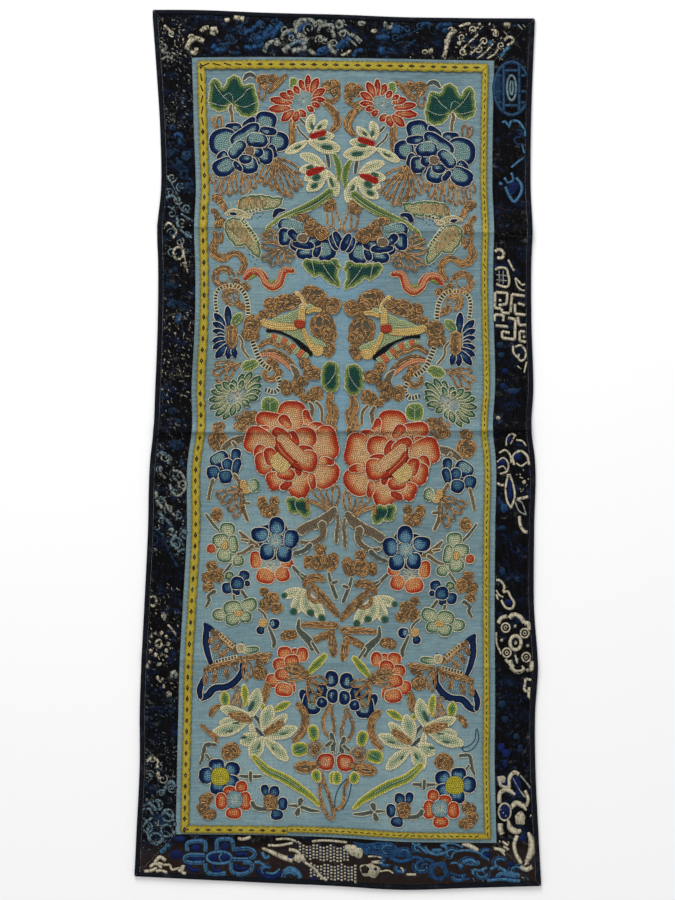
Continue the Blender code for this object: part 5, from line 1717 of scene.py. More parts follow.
# Top border: clouds and scrolls in grey, blue and cream.
def figureTop():
    weaveFigures("brocadeFiguresTop", 0.35, 1.45, (
        ("cream", 2, 164, 26, 168, 29, 172, 34), ("cream", 3, 225, 21, 230, 20),
        ("cream", 4, 234, 17.5, 239, 18.5, 244, 20), ("cream", 3, 201, 32, 204, 29, 209, 28),
        ("cream", 3.5, 187, 50, 190, 42, 197, 39, 204, 42), ("cream", 3, 190, 51, 195, 54, 197, 48),
        ("grey", 2, 160, 45, 163, 51, 167, 54), ("grey", 2, 162, 60, 168, 57, 175, 61),
        ("blue", 4, 244.5, 34, 253, 29, 262, 22), ("blue", 5, 283, 24, 276, 31, 270, 39),
        ("blue", 4, 272, 26, 268, 31, 264, 35), ("blue", 4.5, 244.5, 49, 254, 48, 264, 44),
        ("blue", 4.5, 212, 46, 219, 51, 226, 49), ("dim", 3, 218, 53, 224, 46, 230, 44),
        ("dim", 2.4, 232, 31, 240, 27, 247, 22), ("dim", 3, 248, 41, 256, 37, 262, 31),
        ("grey", (2.5, 4, 4.5, 4, 3), 295.5, 35, 297, 26.5, 303, 21, 311, 20.5, 316.5, 27),
        ("blue", 3.2, 299, 32.5, 303, 26.5, 309, 25), ("grey", 4.5, 297, 36, 302, 38, 307.5, 42),
        ("grey", 2.6, 281.5, 40, 285, 33, 294, 30.5), ("grey", 3.2, 264.5, 53, 267, 45.5, 274, 42, 281, 44.5),
        ("grey", 4, 283, 52, 290, 47), ("greyBlue", 2.6, 290, 46, 298, 42, 306, 45),
        ("grey", 4, 292, 52, 300, 50, 307, 48), ("grey", 2, 338, 20, 341, 24, 339, 28),
        ("grey", 2.6, 318, 33, 321, 27, 330, 25.5, 334, 29), ("grey", 3, 319, 37, 323, 39, 327, 41),
        ("grey", 3, 332, 31, 335, 38), ("grey", 3, 309, 50, 312, 53, 316, 55),
        ("grey", 3.4, 329, 42, 331, 50, 336, 54), ("blue", 5, 336, 49, 344, 43, 350, 38),
        ("grey", 2, 338, 34, 345, 31, 349, 35), ("grey", 2.6, 343.5, 22, 349, 19, 354, 20),
        ("grey", 1.6, 349, 35, 355, 38, 360, 44), ("grey", 1.6, 351, 34, 358, 38, 362, 42),
        ("grey", 1.6, 347, 38, 352, 42, 357, 47), ("blue", 3.4, 353, 57, 357, 51.5, 363, 51),
        ("cream", 2, 341, 56, 346, 54, 351, 50.5), ("blue", 3.4, 421, 25, 427, 23.5, 430.5, 27),
        ("blue", 3, 437, 30, 440, 25.5, 452, 25), ("dim", 1.6, 399, 38, 410, 34, 420, 29),
        ("dim", 1.6, 395, 45, 405, 42, 414, 45), ("dim", 1.6, 402, 49, 409, 45, 416, 40),
        ("cream", 3, 444, 58, 446, 50, 447, 43), ("cream", 3.4, 448, 39, 451, 34, 456, 30),
        ("cream", 2.2, 459, 27.5, 465, 25, 471, 24), ("cream", 3, 494.5, 24, 502, 24, 510.5, 25.5),
        ("cream", 2, 491, 30, 495, 31, 496, 35), ("cream", 2, 504, 41, 508, 37.5, 513, 39, 512, 43, 507, 46),
        ("light", 2.6, 500.5, 58, 505, 51, 510, 47), ("cream", 2, 478, 25, 485, 23.5, 490, 25),
        ("cream", 1.8, 443.5, 56, 446, 60), ("grey", 0.8, 517, 24, 523, 31), ("grey", 0.8, 520, 22, 526, 29),
        ("cream", 1.4, 470, 55, 477, 49, 482, 43), ("cream", 1.2, 462, 50, 470, 42, 478, 35),
        ("cream", 1.2, 476, 60, 485, 53, 493, 44), ("cream", 1.4, 487, 59, 494, 55, 499, 48),
    ), (
        ("cream", 214, 31.5, 8, 9), ("dim", 229.8, 38.2, 11, 7), ("dim", 241, 31.5, 7, 8, 40),
        ("blue", 280, 21, 15, 8), ("blue", 262, 38.5, 17, 7, 25), ("dim", 236, 53.5, 9, 4),
        ("blue", 290.5, 35, 5, 7), ("blue", 323, 51.5, 14, 8, 20), ("blue", 332, 20.5, 7, 4),
        ("grey", 361.5, 24, 8, 5), ("cream", 374, 31.5, 6, 4), ("blue", 343, 45, 15, 7, 15),
        ("blue", 382.5, 37.5, 14, 6), ("blue", 397, 30, 13, 8, 15), ("blue", 446, 31, 8, 5),
        ("blue", 382, 51, 7, 8), ("blue", 391, 50.5, 5, 4), ("light", 490.4, 43, 4, 5),
        ("cream", 430.5, 51, 5, 5), ("cream", 459, 43.5, 4, 5), ("cream", 447, 42, 6, 6),
        ("blue", 357, 55, 8, 5),
    ), (
        ("grey", 322.5, 21, 8, 4.5, 1.8), ("grey", 339.5, 25, 6, 7, 2), ("grey", 388.5, 25, 7, 7, 2.6),
        ("cream", 425, 52.3, 5, 3.4, 1.3),
    ), (
        ("cream", 158, 17, 185, 62, 46, 2.2), ("dim", 206, 20, 262, 58, 30, 3.5),
        ("grey", 300, 20, 352, 57, 34, 2.4), ("dim", 366, 22, 440, 58, 34, 3),
        ("cream", 452, 26, 508, 60, 70, 1.8), ("cream", 400, 24, 440, 60, 8, 1.6),
    ), [(colour, *row) for colour, rows in (
        ("grey", ((285, 30, 5, 0), (297, 24, 4, 1), (309, 29, 6, 2), (320, 24, 4, 3), (331, 28, 4, 4),
                  (342, 34, 4, 5), (292, 38, 4, 0.5), (305, 42, 4, 1.5), (320, 40, 5, 2.5), (334, 44, 4, 3.5),
                  (277, 42, 4, 1.2))),
        ("steel", ((232, 40, 5, 0), (243, 30, 5, 1), (255, 38, 5, 2), (262, 26, 4, 3), (222, 48, 4, 4),
                   (274, 22, 4, 5), (385, 32, 4, 0), (396, 38, 4, 1.5), (407, 30, 4, 3), (393, 24, 4, 4),
                   (420, 26, 4, 0.5))),
        ("cream", ((451, 30, 4, 0), (462, 38, 4, 1), (473, 30, 4, 2), (484, 42, 4, 3), (495, 34, 4, 4),
                   (478, 50, 4, 5), (463, 52, 4, 0.5), (501, 46, 4, 1.5), (172, 34, 3.4, 1),
                   (192, 38, 3.4, 3)))) for row in rows])


# Left border: scrolls, rows of blocks and a ring of dots, much rubbed.
def figureLeft():
    blocks = [(*p, 3.6, 3.0, -40) for p in ((156, 690), (159.5, 695), (163, 700), (166.5, 705), (170, 711),
                                            (173, 717), (153, 693), (161, 688), (165, 692.5), (168.5, 698),
                                            (172, 703), (175.5, 709), (148, 712), (151, 718), (154, 724),
                                            (157, 730), (147, 720), (152, 727), (156, 735), (160, 722),
                                            (146, 707), (159, 738))]
    dots = [(158.8 + 9.6 * np.cos(a), 643.6 + 11.5 * np.sin(a), 3.6, 4.2) for a in np.linspace(0, 5.65, 10)]
    weaveFigures("brocadeFiguresLeft", 0.4, 1.35, (
        ("greyBlue", (1.2, 2.6, 2.4, 1), 165, 208, 166, 199, 174, 196.5, 179, 206),
        ("greyBlue", 1.4, 168, 207, 173, 208.5, 176, 204), ("greyBlue", 2.2, 177, 216, 179, 228, 192, 238.5),
        ("greyBlue", 1.6, 181, 214, 187, 218, 193, 221.5), ("greyBlue", 2, 179, 206, 183, 211, 190, 213),
        ("greyBlue", (1, 3, 1), 166.5, 173, 169, 179, 173, 184),
        ("greyBlue", 1, 171, 182, 177, 194, 181, 205),
        ("cream", 2, 164.5, 229, 169, 223.5, 177, 231, 173, 238.5),
        ("cream", 1.2, 181.7, 242.5, 185, 258, 188, 273), ("cream", 3, 184, 262, 187, 268),
        ("blue", 4, 174, 136, 181, 135, 180, 145), ("dim", 2, 168, 142, 173, 149, 180, 152),
        ("dim", 2.4, 176, 158, 183, 166, 189, 172), ("dim", 2, 170, 160, 176, 168, 183, 175),
        ("dim", 3, 183, 178, 190, 180, 194, 186), ("dim", 2.4, 163, 270, 168, 277, 167, 284),
        ("dim", 2.4, 169, 283, 175, 288, 179, 285), ("dim", 1.4, 168, 300, 179, 306, 192, 322),
        ("dim", 1.4, 172, 299, 184, 307, 193, 315), ("dim", 1.4, 178, 300, 186, 305, 194, 309),
        ("greyBlue", 3, 157, 456, 163, 453, 171, 459, 168, 464), ("grey", 2.2, 160, 466, 161, 474, 166, 478),
        ("grey", 2.4, 173, 470, 181, 473, 186, 484, 181, 495, 173, 493, 170, 484),
        ("grey", 1.6, 175, 478, 179, 484, 177, 490), ("grey", 3, 156, 492, 158, 502, 163, 508),
        ("grey", 2, 164, 497, 168, 508, 179.5, 520), ("greyBlue", 2.4, 158, 512, 166, 519, 172, 526),
        ("greyBlue", 3, 171, 528, 175, 535, 172, 543, 178, 549),
        ("greyBlue", 3, 180, 529, 186, 533, 187, 543), ("greyBlue", 2.4, 178, 552, 184, 549, 187, 553),
        ("greyBlue", 2, 176, 537, 181, 540, 184, 546),
        ("dim", 2, 153.7, 528, 165, 537.5, 168, 549, 177.7, 566), ("dim", 1.6, 155, 532, 152, 540, 157, 545),
        ("dim", 3, 175, 563, 178, 567), ("cream", 1.6, 168, 624.5, 173, 630, 177, 636),
        ("cream", 2.6, 157, 676, 160, 681, 163.5, 678), ("cream", 2.6, 150, 660, 147, 668),
        ("cream", 2.6, 147, 762, 152, 757.5, 158, 761, 157, 768), ("cream", 3, 158, 772, 160, 779),
        ("greyBlue", 3, 163, 793, 166, 787, 172, 781, 176, 788), ("grey", 2, 146, 772, 152, 775),
        ("greyBlue", 2.6, 143, 817, 142, 807, 150, 803, 156, 809),
        ("greyBlue", 3, 148, 827, 150, 839, 158, 843.5, 164, 838),
        ("greyBlue", 2.6, 164, 811, 172, 817, 175.5, 829, 171, 836),
        ("greyBlue", 2, 151, 801, 157, 800.5, 160, 807), ("light", 3.4, 160, 852, 165, 849, 170, 844),
        ("grey", 0.9, 154, 825, 163, 825), ("grey", 0.9, 158.5, 820, 158.5, 830),
        ("grey", 0.9, 155.5, 822, 161.5, 828),
    ), (
        ("steel", 166.5, 115.5, 6, 8), ("steel", 172.5, 127.5, 8, 6), ("dim", 171, 154, 8, 9),
        ("steel", 186.5, 156, 10, 10), ("dim", 179.5, 165, 8, 9), ("dim", 188, 187.5, 11, 10),
        ("steel", 192, 203, 6, 12), ("dim", 165.5, 252, 6, 11), ("dim", 170, 285.5, 11, 7),
        ("dim", 175, 270, 6, 6), ("steel", 171, 304, 8, 8), ("steel", 179, 319, 9, 10),
        ("steel", 188, 333.5, 13, 10), ("dim", 163, 388, 8, 6), ("dim", 166, 398, 9, 5),
        ("dim", 173, 411, 9, 7), ("dim", 178, 421, 6, 5), ("dim", 176, 445, 16, 10), ("dim", 182, 463, 5, 9),
        ("cream", 151, 613, 5, 6), ("cream", 151, 624.5, 6, 7), ("cream", 164, 615.5, 5, 7),
        ("grey", 174, 674, 8, 8), ("cream", 169, 694, 6, 6), ("light", 149.5, 679, 8, 6),
        ("dim", 160, 822, 14, 19), ("greyBlue", 144, 750, 4, 7), ("grey", 159, 664, 6, 4),
        ("cream", 164, 686, 3, 4), *[("dim", *row) for row in blocks], *[("cream", *row) for row in dots],
    ), (
        ("cream", 178.5, 253.5, 10, 12, 2), ("cream", 153, 601, 7, 10, 2), ("cream", 158.8, 643.6, 6, 8, 1.8),
        ("dim", 184, 175, 7, 8, 2), ("grey", 163.5, 48, 6, 7, 1.6), ("dim", 154, 540, 8, 10, 1.4),
        ("greyBlue", 147.4, 814, 10, 12, 2), ("greyBlue", 157, 804.6, 11, 10, 2),
        ("greyBlue", 168, 815, 11, 12, 2), ("greyBlue", 167, 830, 11, 12, 2),
        ("greyBlue", 156, 837.6, 12, 10, 2), ("greyBlue", 148, 827, 9, 10, 1.6),
    ), (
        ("grey", 158, 48, 192, 128, 130, 2.2), ("dim", 164, 110, 193, 205, 60, 2.6),
        ("grey", 163, 225, 192, 300, 40, 2), ("cream", 161, 311, 193, 403, 170, 1.9),
        ("dim", 160, 330, 190, 430, 50, 2.4), ("grey", 155, 440, 188, 500, 80, 2.2),
        ("grey", 155, 500, 186, 556, 60, 2.2), ("cream", 147, 583, 180, 690, 110, 1.8),
        ("dim", 145, 560, 182, 600, 30, 2), ("grey", 144, 745, 178, 800, 70, 2.0),
        ("dim", 143, 800, 178, 845, 40, 2.4), ("dim", 160, 255, 190, 300, 30, 2.4),
        ("greyBlue", 143, 690, 178, 760, 60, 2.4), ("greyBlue", 143, 800, 176, 852, 60, 2.2),
        ("grey", 158, 400, 188, 440, 40, 2),
    ), [("greyBlue" if k % 3 else "grey", *row) for k, row in enumerate((
        (165, 457, 5, 0), (160, 469, 4, 1.6), (175, 474, 5, 3.1), (183, 484, 5, 0.8), (175, 493, 4, 3.5),
        (161, 499, 4.4, 0), (169, 509, 5, 2.1), (178, 516, 4.6, 4.5), (162, 520, 3.6, 1), (172, 531, 5, 0),
        (184, 536, 4.4, 2.6), (176, 545, 4.6, 5.2), (172, 178, 5, 0), (181, 187, 5, 1.6),
        (170, 193, 4.4, 3.5), (178, 200, 5, 0.5), (187, 209, 4.4, 2.4), (172, 214, 4.6, 4.4),
        (182, 223, 5, 1), (188, 234, 4, 0), (172, 233, 5, 3.1), (180, 242, 4.6, 5.2), (186, 252, 4.4, 1.6),
        (172, 252, 5, 0.3), (152, 757, 5, 0), (160, 767, 4.6, 1.7), (151, 774, 4, 3.5), (163, 779, 5, 5.2),
        (172, 788, 4.4, 0.7), (161, 793, 4, 2.8)))])


# Right border: ring with bars, key fret, fruit, flowers and coins in cream and blue.
def figureRight():
    coins = ((505.5, 627.5), (524.5, 633), (506.5, 652.5), (526, 657))
    fret = ((495.5, 292.5, 507.5, 293.5), (507.3, 293.5, 506.3, 304.5), (506.3, 304.3, 498.5, 305.5),
            (495, 292.5, 494.5, 308), (494.5, 308, 501, 309), (501.5, 309, 502, 313),
            (502, 313, 509.5, 313.5), (511.8, 294.5, 510.3, 312.5), (511.8, 294.5, 526, 296.5),
            (526, 296.5, 525.8, 306), (525.8, 306, 517.6, 303.6), (514.8, 304, 514.8, 313.8),
            (514.8, 314, 528, 315.5), (494.8, 314.5, 494, 325.5), (494, 325.5, 508, 327),
            (494.8, 314.5, 503.5, 315.5), (503.5, 315.5, 503, 321.5), (508, 318, 515.3, 319.7),
            (515.3, 319.7, 514.6, 339.6), (514.6, 339.6, 502, 338), (502, 338, 502, 331.5),
            (502, 331.5, 509.5, 333), (517.5, 317, 519, 325.5), (519, 325.5, 528.5, 325),
            (528, 315.5, 528, 324), (519.7, 331.5, 528, 332.2), (519.7, 331.5, 519.4, 341),
            (519.4, 341, 528.5, 342.5), (524, 690, 525.5, 678.5), (525.5, 678.5, 532.5, 680),
            (524, 690, 528, 691.5), (529, 687, 528.5, 697), (528.5, 697, 532, 697.5))
    weaveFigures("brocadeFiguresRight", 0.15, 1.2, (
        *[("cream", 2.5, *pair) for pair in fret],
        *[("steel", 2.8, x, 66, x, 90, x, 112) for x in (503.5, 519)],
        *[("steel", 2.6, x, y, x + 6, y) for x in (495.5, 521) for y in (76, 92, 103)],
        *[("steel", 2.4, 504.5, y, 518, y) for y in (71, 106)], ("light", 2, 502, 123, 505, 122, 508, 126),
        ("light", 2.2, 509, 128, 511, 122, 518, 122, 524, 130, 525, 137),
        ("dim", 2, 516, 131, 521, 131, 521, 137, 516, 138, 514, 141, 518, 145, 522, 144),
        ("light", 1.6, 522, 145, 523, 150, 525, 155), ("light", 2, 525, 157, 518, 162, 511, 168),
        ("light", 2.4, 525.5, 157, 526, 164, 526, 171), ("light", 2.6, 499, 183, 502, 185),
        ("light", 2.4, 504, 178, 508, 183, 513, 180, 511, 173),
        ("light", 2.8, 505, 187, 509, 196, 514, 202, 520, 195, 521.5, 186, 516, 178),
        ("dim", 1.4, 509, 196, 515, 190, 519, 182), ("light", 2, 525, 184, 525, 188),
        ("cream", 2.8, 495, 252, 498.5, 249.5, 503.5, 253, 502, 258, 497, 258),
        ("cream", 2, 508, 260, 511, 266, 514, 271), ("cream", 1.8, 515, 278, 518, 281, 522, 285, 526, 284),
        ("cream", 1.6, 515, 278, 517, 286, 521, 290, 526, 291), ("cream", 3.4, 525.5, 286, 525.5, 291),
        ("cream", 2.2, 495, 270, 499, 268, 506, 269, 508, 275, 509, 282, 507, 287, 500, 286, 496, 284),
        ("grey", 1, 499, 271, 499, 283), ("grey", 1, 503, 271, 503, 284), ("grey", 1, 496, 275, 507, 276),
        ("grey", 1, 496, 280, 507, 281), ("cream", 2, 513, 346, 513.5, 353, 519, 359),
        ("cream", 2, 515, 347, 521, 345.5, 525.5, 352, 525, 358, 521, 361, 518, 358, 519, 354),
        ("cream", 1.2, 517, 366, 521, 369), ("cream", 1.4, 524, 373, 525, 368, 526.5, 362),
        ("cream", 1.8, 506, 446, 507, 438, 511, 433.5, 516, 436),
        ("cream", 1.4, 510, 444, 513, 439, 515, 434), ("cream", 1.6, 516, 440, 522, 441, 526, 446),
        ("cream", 1.8, 499, 453, 505, 450, 510, 455, 511, 463),
        ("cream", 1.8, 497, 462, 503, 458, 508, 463, 507, 471, 500, 474),
        ("cream", 1.4, 498, 468, 503, 466, 506, 470), ("cream", 2.2, 496, 474, 496, 481, 500, 485, 504, 485),
        ("cream", 2.4, 514, 465, 513, 456, 520, 451, 527, 456, 529, 465),
        ("cream", 1.6, 516, 463, 521, 466, 527, 462), ("cream", 2, 508, 474, 505.5, 488, 507, 501, 511, 508),
        ("cream", 2, 509.5, 474, 513.5, 487, 514.5, 497, 511, 508),
        ("cream", 2.6, 517, 499, 523, 498, 528, 496.5), ("grey", 1.4, 515, 502, 519, 511, 526, 515),
        ("grey", 1.4, 516, 500, 522, 503, 526, 515), ("cream", 2.8, 519, 516, 520, 525, 524, 531.5, 530, 532),
        ("cream", 2.2, 496, 580, 500, 580.5, 504, 586, 503, 591.5),
        ("cream", 2.2, 503, 592, 508, 591.5, 510, 596, 514, 603, 511, 608.5, 505, 607, 501, 600),
        ("cream", 1.6, 496, 590, 499, 595, 503, 597), ("cream", 1.8, 496, 594, 498, 600),
        ("cream", 4, 509, 618, 513, 614.5, 520, 617, 524, 623), ("cream", 3.4, 498, 623, 501, 618, 507, 616),
        ("cream", 3.6, 524, 623.5, 528, 623, 529, 630), ("cream", 1.8, 496, 632, 496.5, 643, 501, 654),
        ("cream", 4.4, 509, 660, 511, 666, 518, 671, 524, 667), ("cream", 2.4, 505, 659, 508, 663),
        ("cream", 4, 526, 669, 531, 668, 532, 661), ("cream", 1.6, 515, 655, 517, 663),
        ("cream", 3.6, 499, 776, 501, 785, 507, 787),
        ("cream", 3.6, 509, 788, 509.5, 778, 514, 772, 519, 774),
        ("cream", 3.8, 499, 803, 500, 793, 507, 789.5, 515, 794), ("grey", 1.6, 520, 775, 526, 782, 531, 789),
        ("cream", 2.8, 525, 790, 528, 799, 526, 806), ("grey", 1.8, 513, 778, 519, 789, 525, 797),
        ("cream", (3, 5, 4.5, 2), 510.5, 808, 516, 803, 523, 805.5, 526, 810),
        ("cream", (2, 5, 5.4, 3), 508, 820, 510, 828, 516, 831.5, 521, 830),
        ("cream", 4.4, 500, 823, 500, 829, 502, 834), ("cream", 3.4, 517, 835, 514, 844, 516, 854, 521, 863),
        ("cream", (2.5, 6, 7, 5, 1.5), 528, 832, 531, 840, 531, 850, 528, 858, 525, 865),
        ("cream", 4, 520, 866, 526, 869, 532, 866), ("grey", 3.6, 534, 858, 536, 866),
        ("cream", 2, 502, 841, 508, 845), ("cream", 1.6, 503, 846, 509, 849),
        ("cream", 2.4, 530, 815, 533, 817), ("cream", 1.6, 494, 847, 500, 850, 505, 855),
    ), (
        ("dim", 498, 90, 6, 36), ("dim", 524.6, 86, 6, 36), ("deep", 513, 188, 9, 12),
        ("deep", 510, 491, 4.6, 20), ("deep", 509, 440, 5, 8), ("cream", 500, 300.5, 3, 3),
        ("cream", 524, 337, 3, 3), ("deep", 517, 457, 9, 7), ("deep", 502, 462, 8, 7),
        ("cream", 528, 522, 4, 5), ("cream", 524, 482, 4, 4), ("cream", 498, 418, 4, 4),
        ("blue", 504, 508, 7, 9), ("dim", 500, 345, 8, 6), ("dim", 501, 355, 7, 5), ("deep", 505, 371, 6, 5),
        ("deep", 503, 386, 6, 6), ("dim", 513, 391, 12, 6), ("dim", 502, 571, 6, 8), ("dim", 517, 579, 5, 6),
        ("dim", 524, 556, 14, 12), ("dim", 502, 528, 8, 5), ("deep", 508, 602, 7, 6),
        ("cream", 515, 626, 3, 3.4), ("cream", 501.5, 640, 3, 3.4), ("cream", 527.5, 645.5, 3, 3.4),
        ("cream", 516.5, 659.5, 3, 3.4), ("cream", 515.3, 642.6, 3, 4), ("dim", 501.5, 703.7, 8, 7),
        ("dim", 505, 719, 6, 7), ("deep", 501, 747, 7, 9), ("deep", 506, 753, 8, 8), ("dim", 520, 748, 5, 8),
        ("deep", 505, 763, 5, 8), ("dim", 516, 736, 6, 6), ("deep", 505, 782.5, 6, 6),
        ("deep", 517, 783, 8, 16, 20), ("deep", 530, 803, 6, 24), ("deep", 504.5, 811.5, 10, 14),
        ("cream", 520, 818, 10, 13), ("deep", 522, 838, 5, 7), ("deep", 516, 793, 9, 5),
        ("cream", 502, 779, 7, 7),
        *[("cream", 500.5 + 2.6 * i, 806 + 3.2 * j, 1.5, 1.8) for i in range(4) for j in range(4)],
    ), (
        *[("cream", x, y, 8.4, 9, 1.5) for x, y in coins], *[("cream", x, y, 3, 3.4, 1.0) for x, y in coins],
        ("cream", 515.3, 642.6, 11, 14, 3), ("cream", 504.5, 811.5, 12, 17, 1.7),
        ("steel", 511.5, 89, 35, 53, 2.8), ("greyBlue", 511.4, 88.4, 9, 25, 2.2),
        ("greyBlue", 511.4, 88.4, 3, 14, 1.8),
    ), (
        ("dim", 497, 330, 528, 425, 26, 2.0), ("deep", 500, 535, 530, 580, 26, 2.2),
        ("dim", 498, 680, 530, 770, 44, 2.2), ("cream", 515, 470, 529, 495, 9, 1.4),
        ("brown", 497, 118, 526, 240, 50, 3.0), ("cream", 497, 840, 512, 858, 8, 1.4),
    ))


# Bottom border: interlaced bands, waves of scrolls and two fields of small scales.
def figureBottom():
    bands = ((187.5, 851, 187.5, 843, 196, 841, 205, 842, 205.5, 851.5),
             (217, 850, 217.5, 840.5, 225, 838.5, 232, 840, 234, 851),
             (233, 848.8, 249, 848.3, 255.3, 853.5, 249, 858.7, 233, 858.7),
             (205, 854.8, 189, 854.8, 184.5, 858.5, 189, 862.2, 205, 862.3),
             (205.5, 863, 206, 870, 212, 873.7, 226, 873),
             (231, 862, 232, 871, 241, 874, 251, 870, 252, 863, 243, 862))
    scrolls = []
    waves = (
        (372, 850, 8, 0.3, "blue"), (388, 849, 9, 0.9, "blue"), (404, 853, 8, 0.1, "blue"),
        (419, 847, 7, 1.2, "steel"), (421, 866, 9, 2.6, "blue"), (452, 853, 8, 0.6, "steel"),
        (468, 864, 10, 0.2, "steel"), (486, 853, 7, 1.0, "blue"), (482, 873, 8, 2.8, "steel"),
        (500, 862, 8, 0.5, "steel"), (516, 870, 8, 0.2, "steel"), (458, 876, 7, 3.0, "blue"),
        (400, 868, 6, 2.4, "blue"), (386, 862, 6, 1.8, "blue"), (503, 877, 7, 0.0, "light"),
        (266, 870, 7, 0.6, "blue"), (290, 876, 8, 0.2, "light"),
    )
    for x, y, far, way, colour in waves:
        for k, (tone, share) in enumerate(((colour, 1.0), ("light", 0.66), ("dim", 0.34))):
            a = np.linspace(way, way + np.pi * (1.25 - 0.1 * k), 7)
            curl = [(x + far * share * np.cos(v), y - far * 0.72 * share * np.sin(v)) for v in a]
            scrolls.append((tone, 1.5, *curl))
    weaveFigures("brocadeFiguresBottom", 0.15, 1.25, (
        *scrolls, ("cream", 3, 155, 862, 160, 856.5, 166, 860), ("cream", 2.4, 163, 864, 158, 862.5),
        ("cream", 2.6, 150, 866.5, 156, 863, 162, 867.5), ("cream", 2.6, 143, 871, 152, 870, 157, 867),
        ("cream", 2.4, 153, 873, 160, 870, 169, 872.5),
        ("cream", 2, 163, 864.5, 170, 864.5, 172, 869, 180, 867.5),
        ("cream", 2.6, 179, 871, 184, 865, 182.5, 872, 193, 873.5),
        *[("light", 3.6, *band) for band in bands], *[("deep", 1.1, *band) for band in bands],
        ("deep", 4.2, 236, 853.5, 248, 853.5), ("deep", 3, 190, 858.6, 203, 858.6),
        ("deep", 3.6, 213, 865, 214.5, 870, 222, 870.5), ("deep", 3.4, 236, 863.5, 238, 868.5, 247, 867.5),
        ("deep", 3.6, 187, 864.5, 192, 869, 199, 870.5), ("light", 2, 222, 853, 219.5, 857, 222, 861),
        ("light", 2.8, 254.5, 862, 260, 862, 266, 866.5), ("light", 3, 262, 851.5, 265, 857, 269.5, 856),
        ("deep", 4.4, 258, 869, 264, 875.5, 274, 877, 281, 872),
        ("light", 1.8, 266, 872, 274, 873, 280, 868.5),
        ("light", (2, 4.4, 4.6, 4, 2), 283, 871, 290, 868, 297, 872, 302, 879, 311, 880.5),
        ("deep", 2.4, 311, 878, 320, 880),
        ("cream", (2, 3.6, 4, 5), 262, 847.5, 272, 852, 283, 857, 293, 860),
        ("cream", 2.2, 268, 845, 280, 845, 293, 842.5), ("cream", 2.6, 238, 838, 244, 838.6, 251, 836.5),
        ("cream", 2, 276, 839, 288, 838.5, 299, 842), ("cream", 3, 289, 849, 297, 851, 303, 857, 305, 862),
        ("cream", 2.4, 305, 862, 314, 868, 322, 877, 331, 881),
        ("cream", 2, 312, 841, 322, 840, 334, 840.5, 347, 842),
        ("cream", 2.4, 327, 880.5, 340, 880.5, 357, 881.5), ("cream", 1.4, 368, 856, 376, 856, 382, 857.5),
        ("cream", 1.4, 371, 861.5, 380, 860.5), ("cream", 1.4, 380, 871, 388, 870, 393.5, 873),
        ("cream", 1.8, 372, 862, 382, 862.5), ("cream", 2, 400.5, 867, 403, 869.5, 402.5, 872.5),
        ("cream", 2.2, 406.5, 874, 416, 874),
        *[("blue", 1.5, 353 + 2 * k, 842 + 2.4 * k, 366 + 3 * k, 844 + 2.4 * k, 380 + 3 * k, 842.5 + 2.6 * k,
           397 + 3 * k, 846 + 2.4 * k) for k in range(5)],
        ("blue", 3.6, 390, 858, 402, 861, 416, 857, 424, 861), ("blue", 2, 372, 851, 384, 856, 398, 855),
        ("blue", 2.8, 418, 871, 417, 863, 426, 859, 434, 862), ("blue", 2, 421, 868, 423, 864, 428, 864),
        ("light", 2.8, 425, 846, 428, 851, 436, 854, 445, 852, 446, 847, 441, 845),
        ("light", 2, 412, 843, 419, 846, 427, 853),
        ("light", 2, 451, 858, 455, 851.5, 468, 850, 480, 853, 489.5, 860),
        ("light", 1.8, 450.5, 862.5, 458, 863, 461, 867),
        ("light", 2.4, 473, 874, 473.5, 869.5, 480, 870, 487, 867),
        ("light", 2.8, 490, 869, 496, 866, 503, 869, 508, 873), ("light", 1.6, 440, 845, 452, 843, 463, 847),
        ("light", 3.4, 487, 880, 500, 878.5, 515, 880, 529, 881.5),
        ("deep", 1.4, 489, 878, 503, 876.5, 518, 878), ("blue", 1.6, 450, 872, 458, 875, 466, 874),
        ("blue", 1.6, 452, 879, 461, 880, 470, 878), ("cream", (2, 4.2, 3.4), 462, 844, 470, 845.5, 478, 850),
        ("cream", 2.6, 494, 848, 500, 849, 505, 850.5), ("deep", 1.2, 463, 859, 470, 857, 477, 860),
        ("deep", 1.2, 465, 863, 471, 861, 476, 864),
    ), (
        ("deep", 180, 838.5, 12, 6), ("deep", 176.5, 854, 13, 9), ("deep", 213.8, 857.3, 9.5, 7.5),
        ("deep", 225, 857.3, 9.5, 7.5), ("deep", 196.5, 847.5, 10, 7), ("deep", 225, 846, 8, 8),
        ("deep", 229, 876, 14, 4), ("deep", 290, 857, 6, 4), ("cream", 298.5, 858, 9, 8, -20),
        ("cream", 354.5, 850.5, 20, 10, -28), ("cream", 370, 870, 20, 13, -10), ("deep", 359, 852.5, 6, 4.5),
        ("brown", 365, 869, 8, 8), ("deep", 375.5, 868.5, 3.4, 3.4), ("blue", 401, 853, 22, 8, -10),
        ("blue", 438.5, 871, 20, 19), ("light", 470, 861, 18, 8, -10), ("light", 511, 874.5, 18, 7, -10),
        ("deep", 511, 863.5, 7, 6), ("deep", 487, 854.5, 9, 5), ("brown", 438.5, 871, 9, 11, 20),
        ("light", 437, 850, 11, 4),
    ), (
        ("light", 219.4, 857.3, 25, 12, 2.4), ("blue", 438.5, 871, 15, 16, 1.6),
    ), (
        ("brown", 200, 840, 500, 884, 60, 3), ("light", 470, 868, 528, 882, 22, 1.8),
        ("cream", 515, 850, 535, 880, 8, 1.5),
    ))
    heap = newHeap()
    for x0, x1, y0, y1, lean in ((299, 347, 843, 859, 0.2), (310, 357, 863, 881, 0.1)):
        for k, x in enumerate(np.arange(x0, x1, 3.4)):
            top, foot = y0 + 3 * abs(np.sin(k * 0.7)), y1 - 5 * abs(np.cos(k * 0.5)) * (k < 4)
            for y in np.arange(top, foot, 3.1):
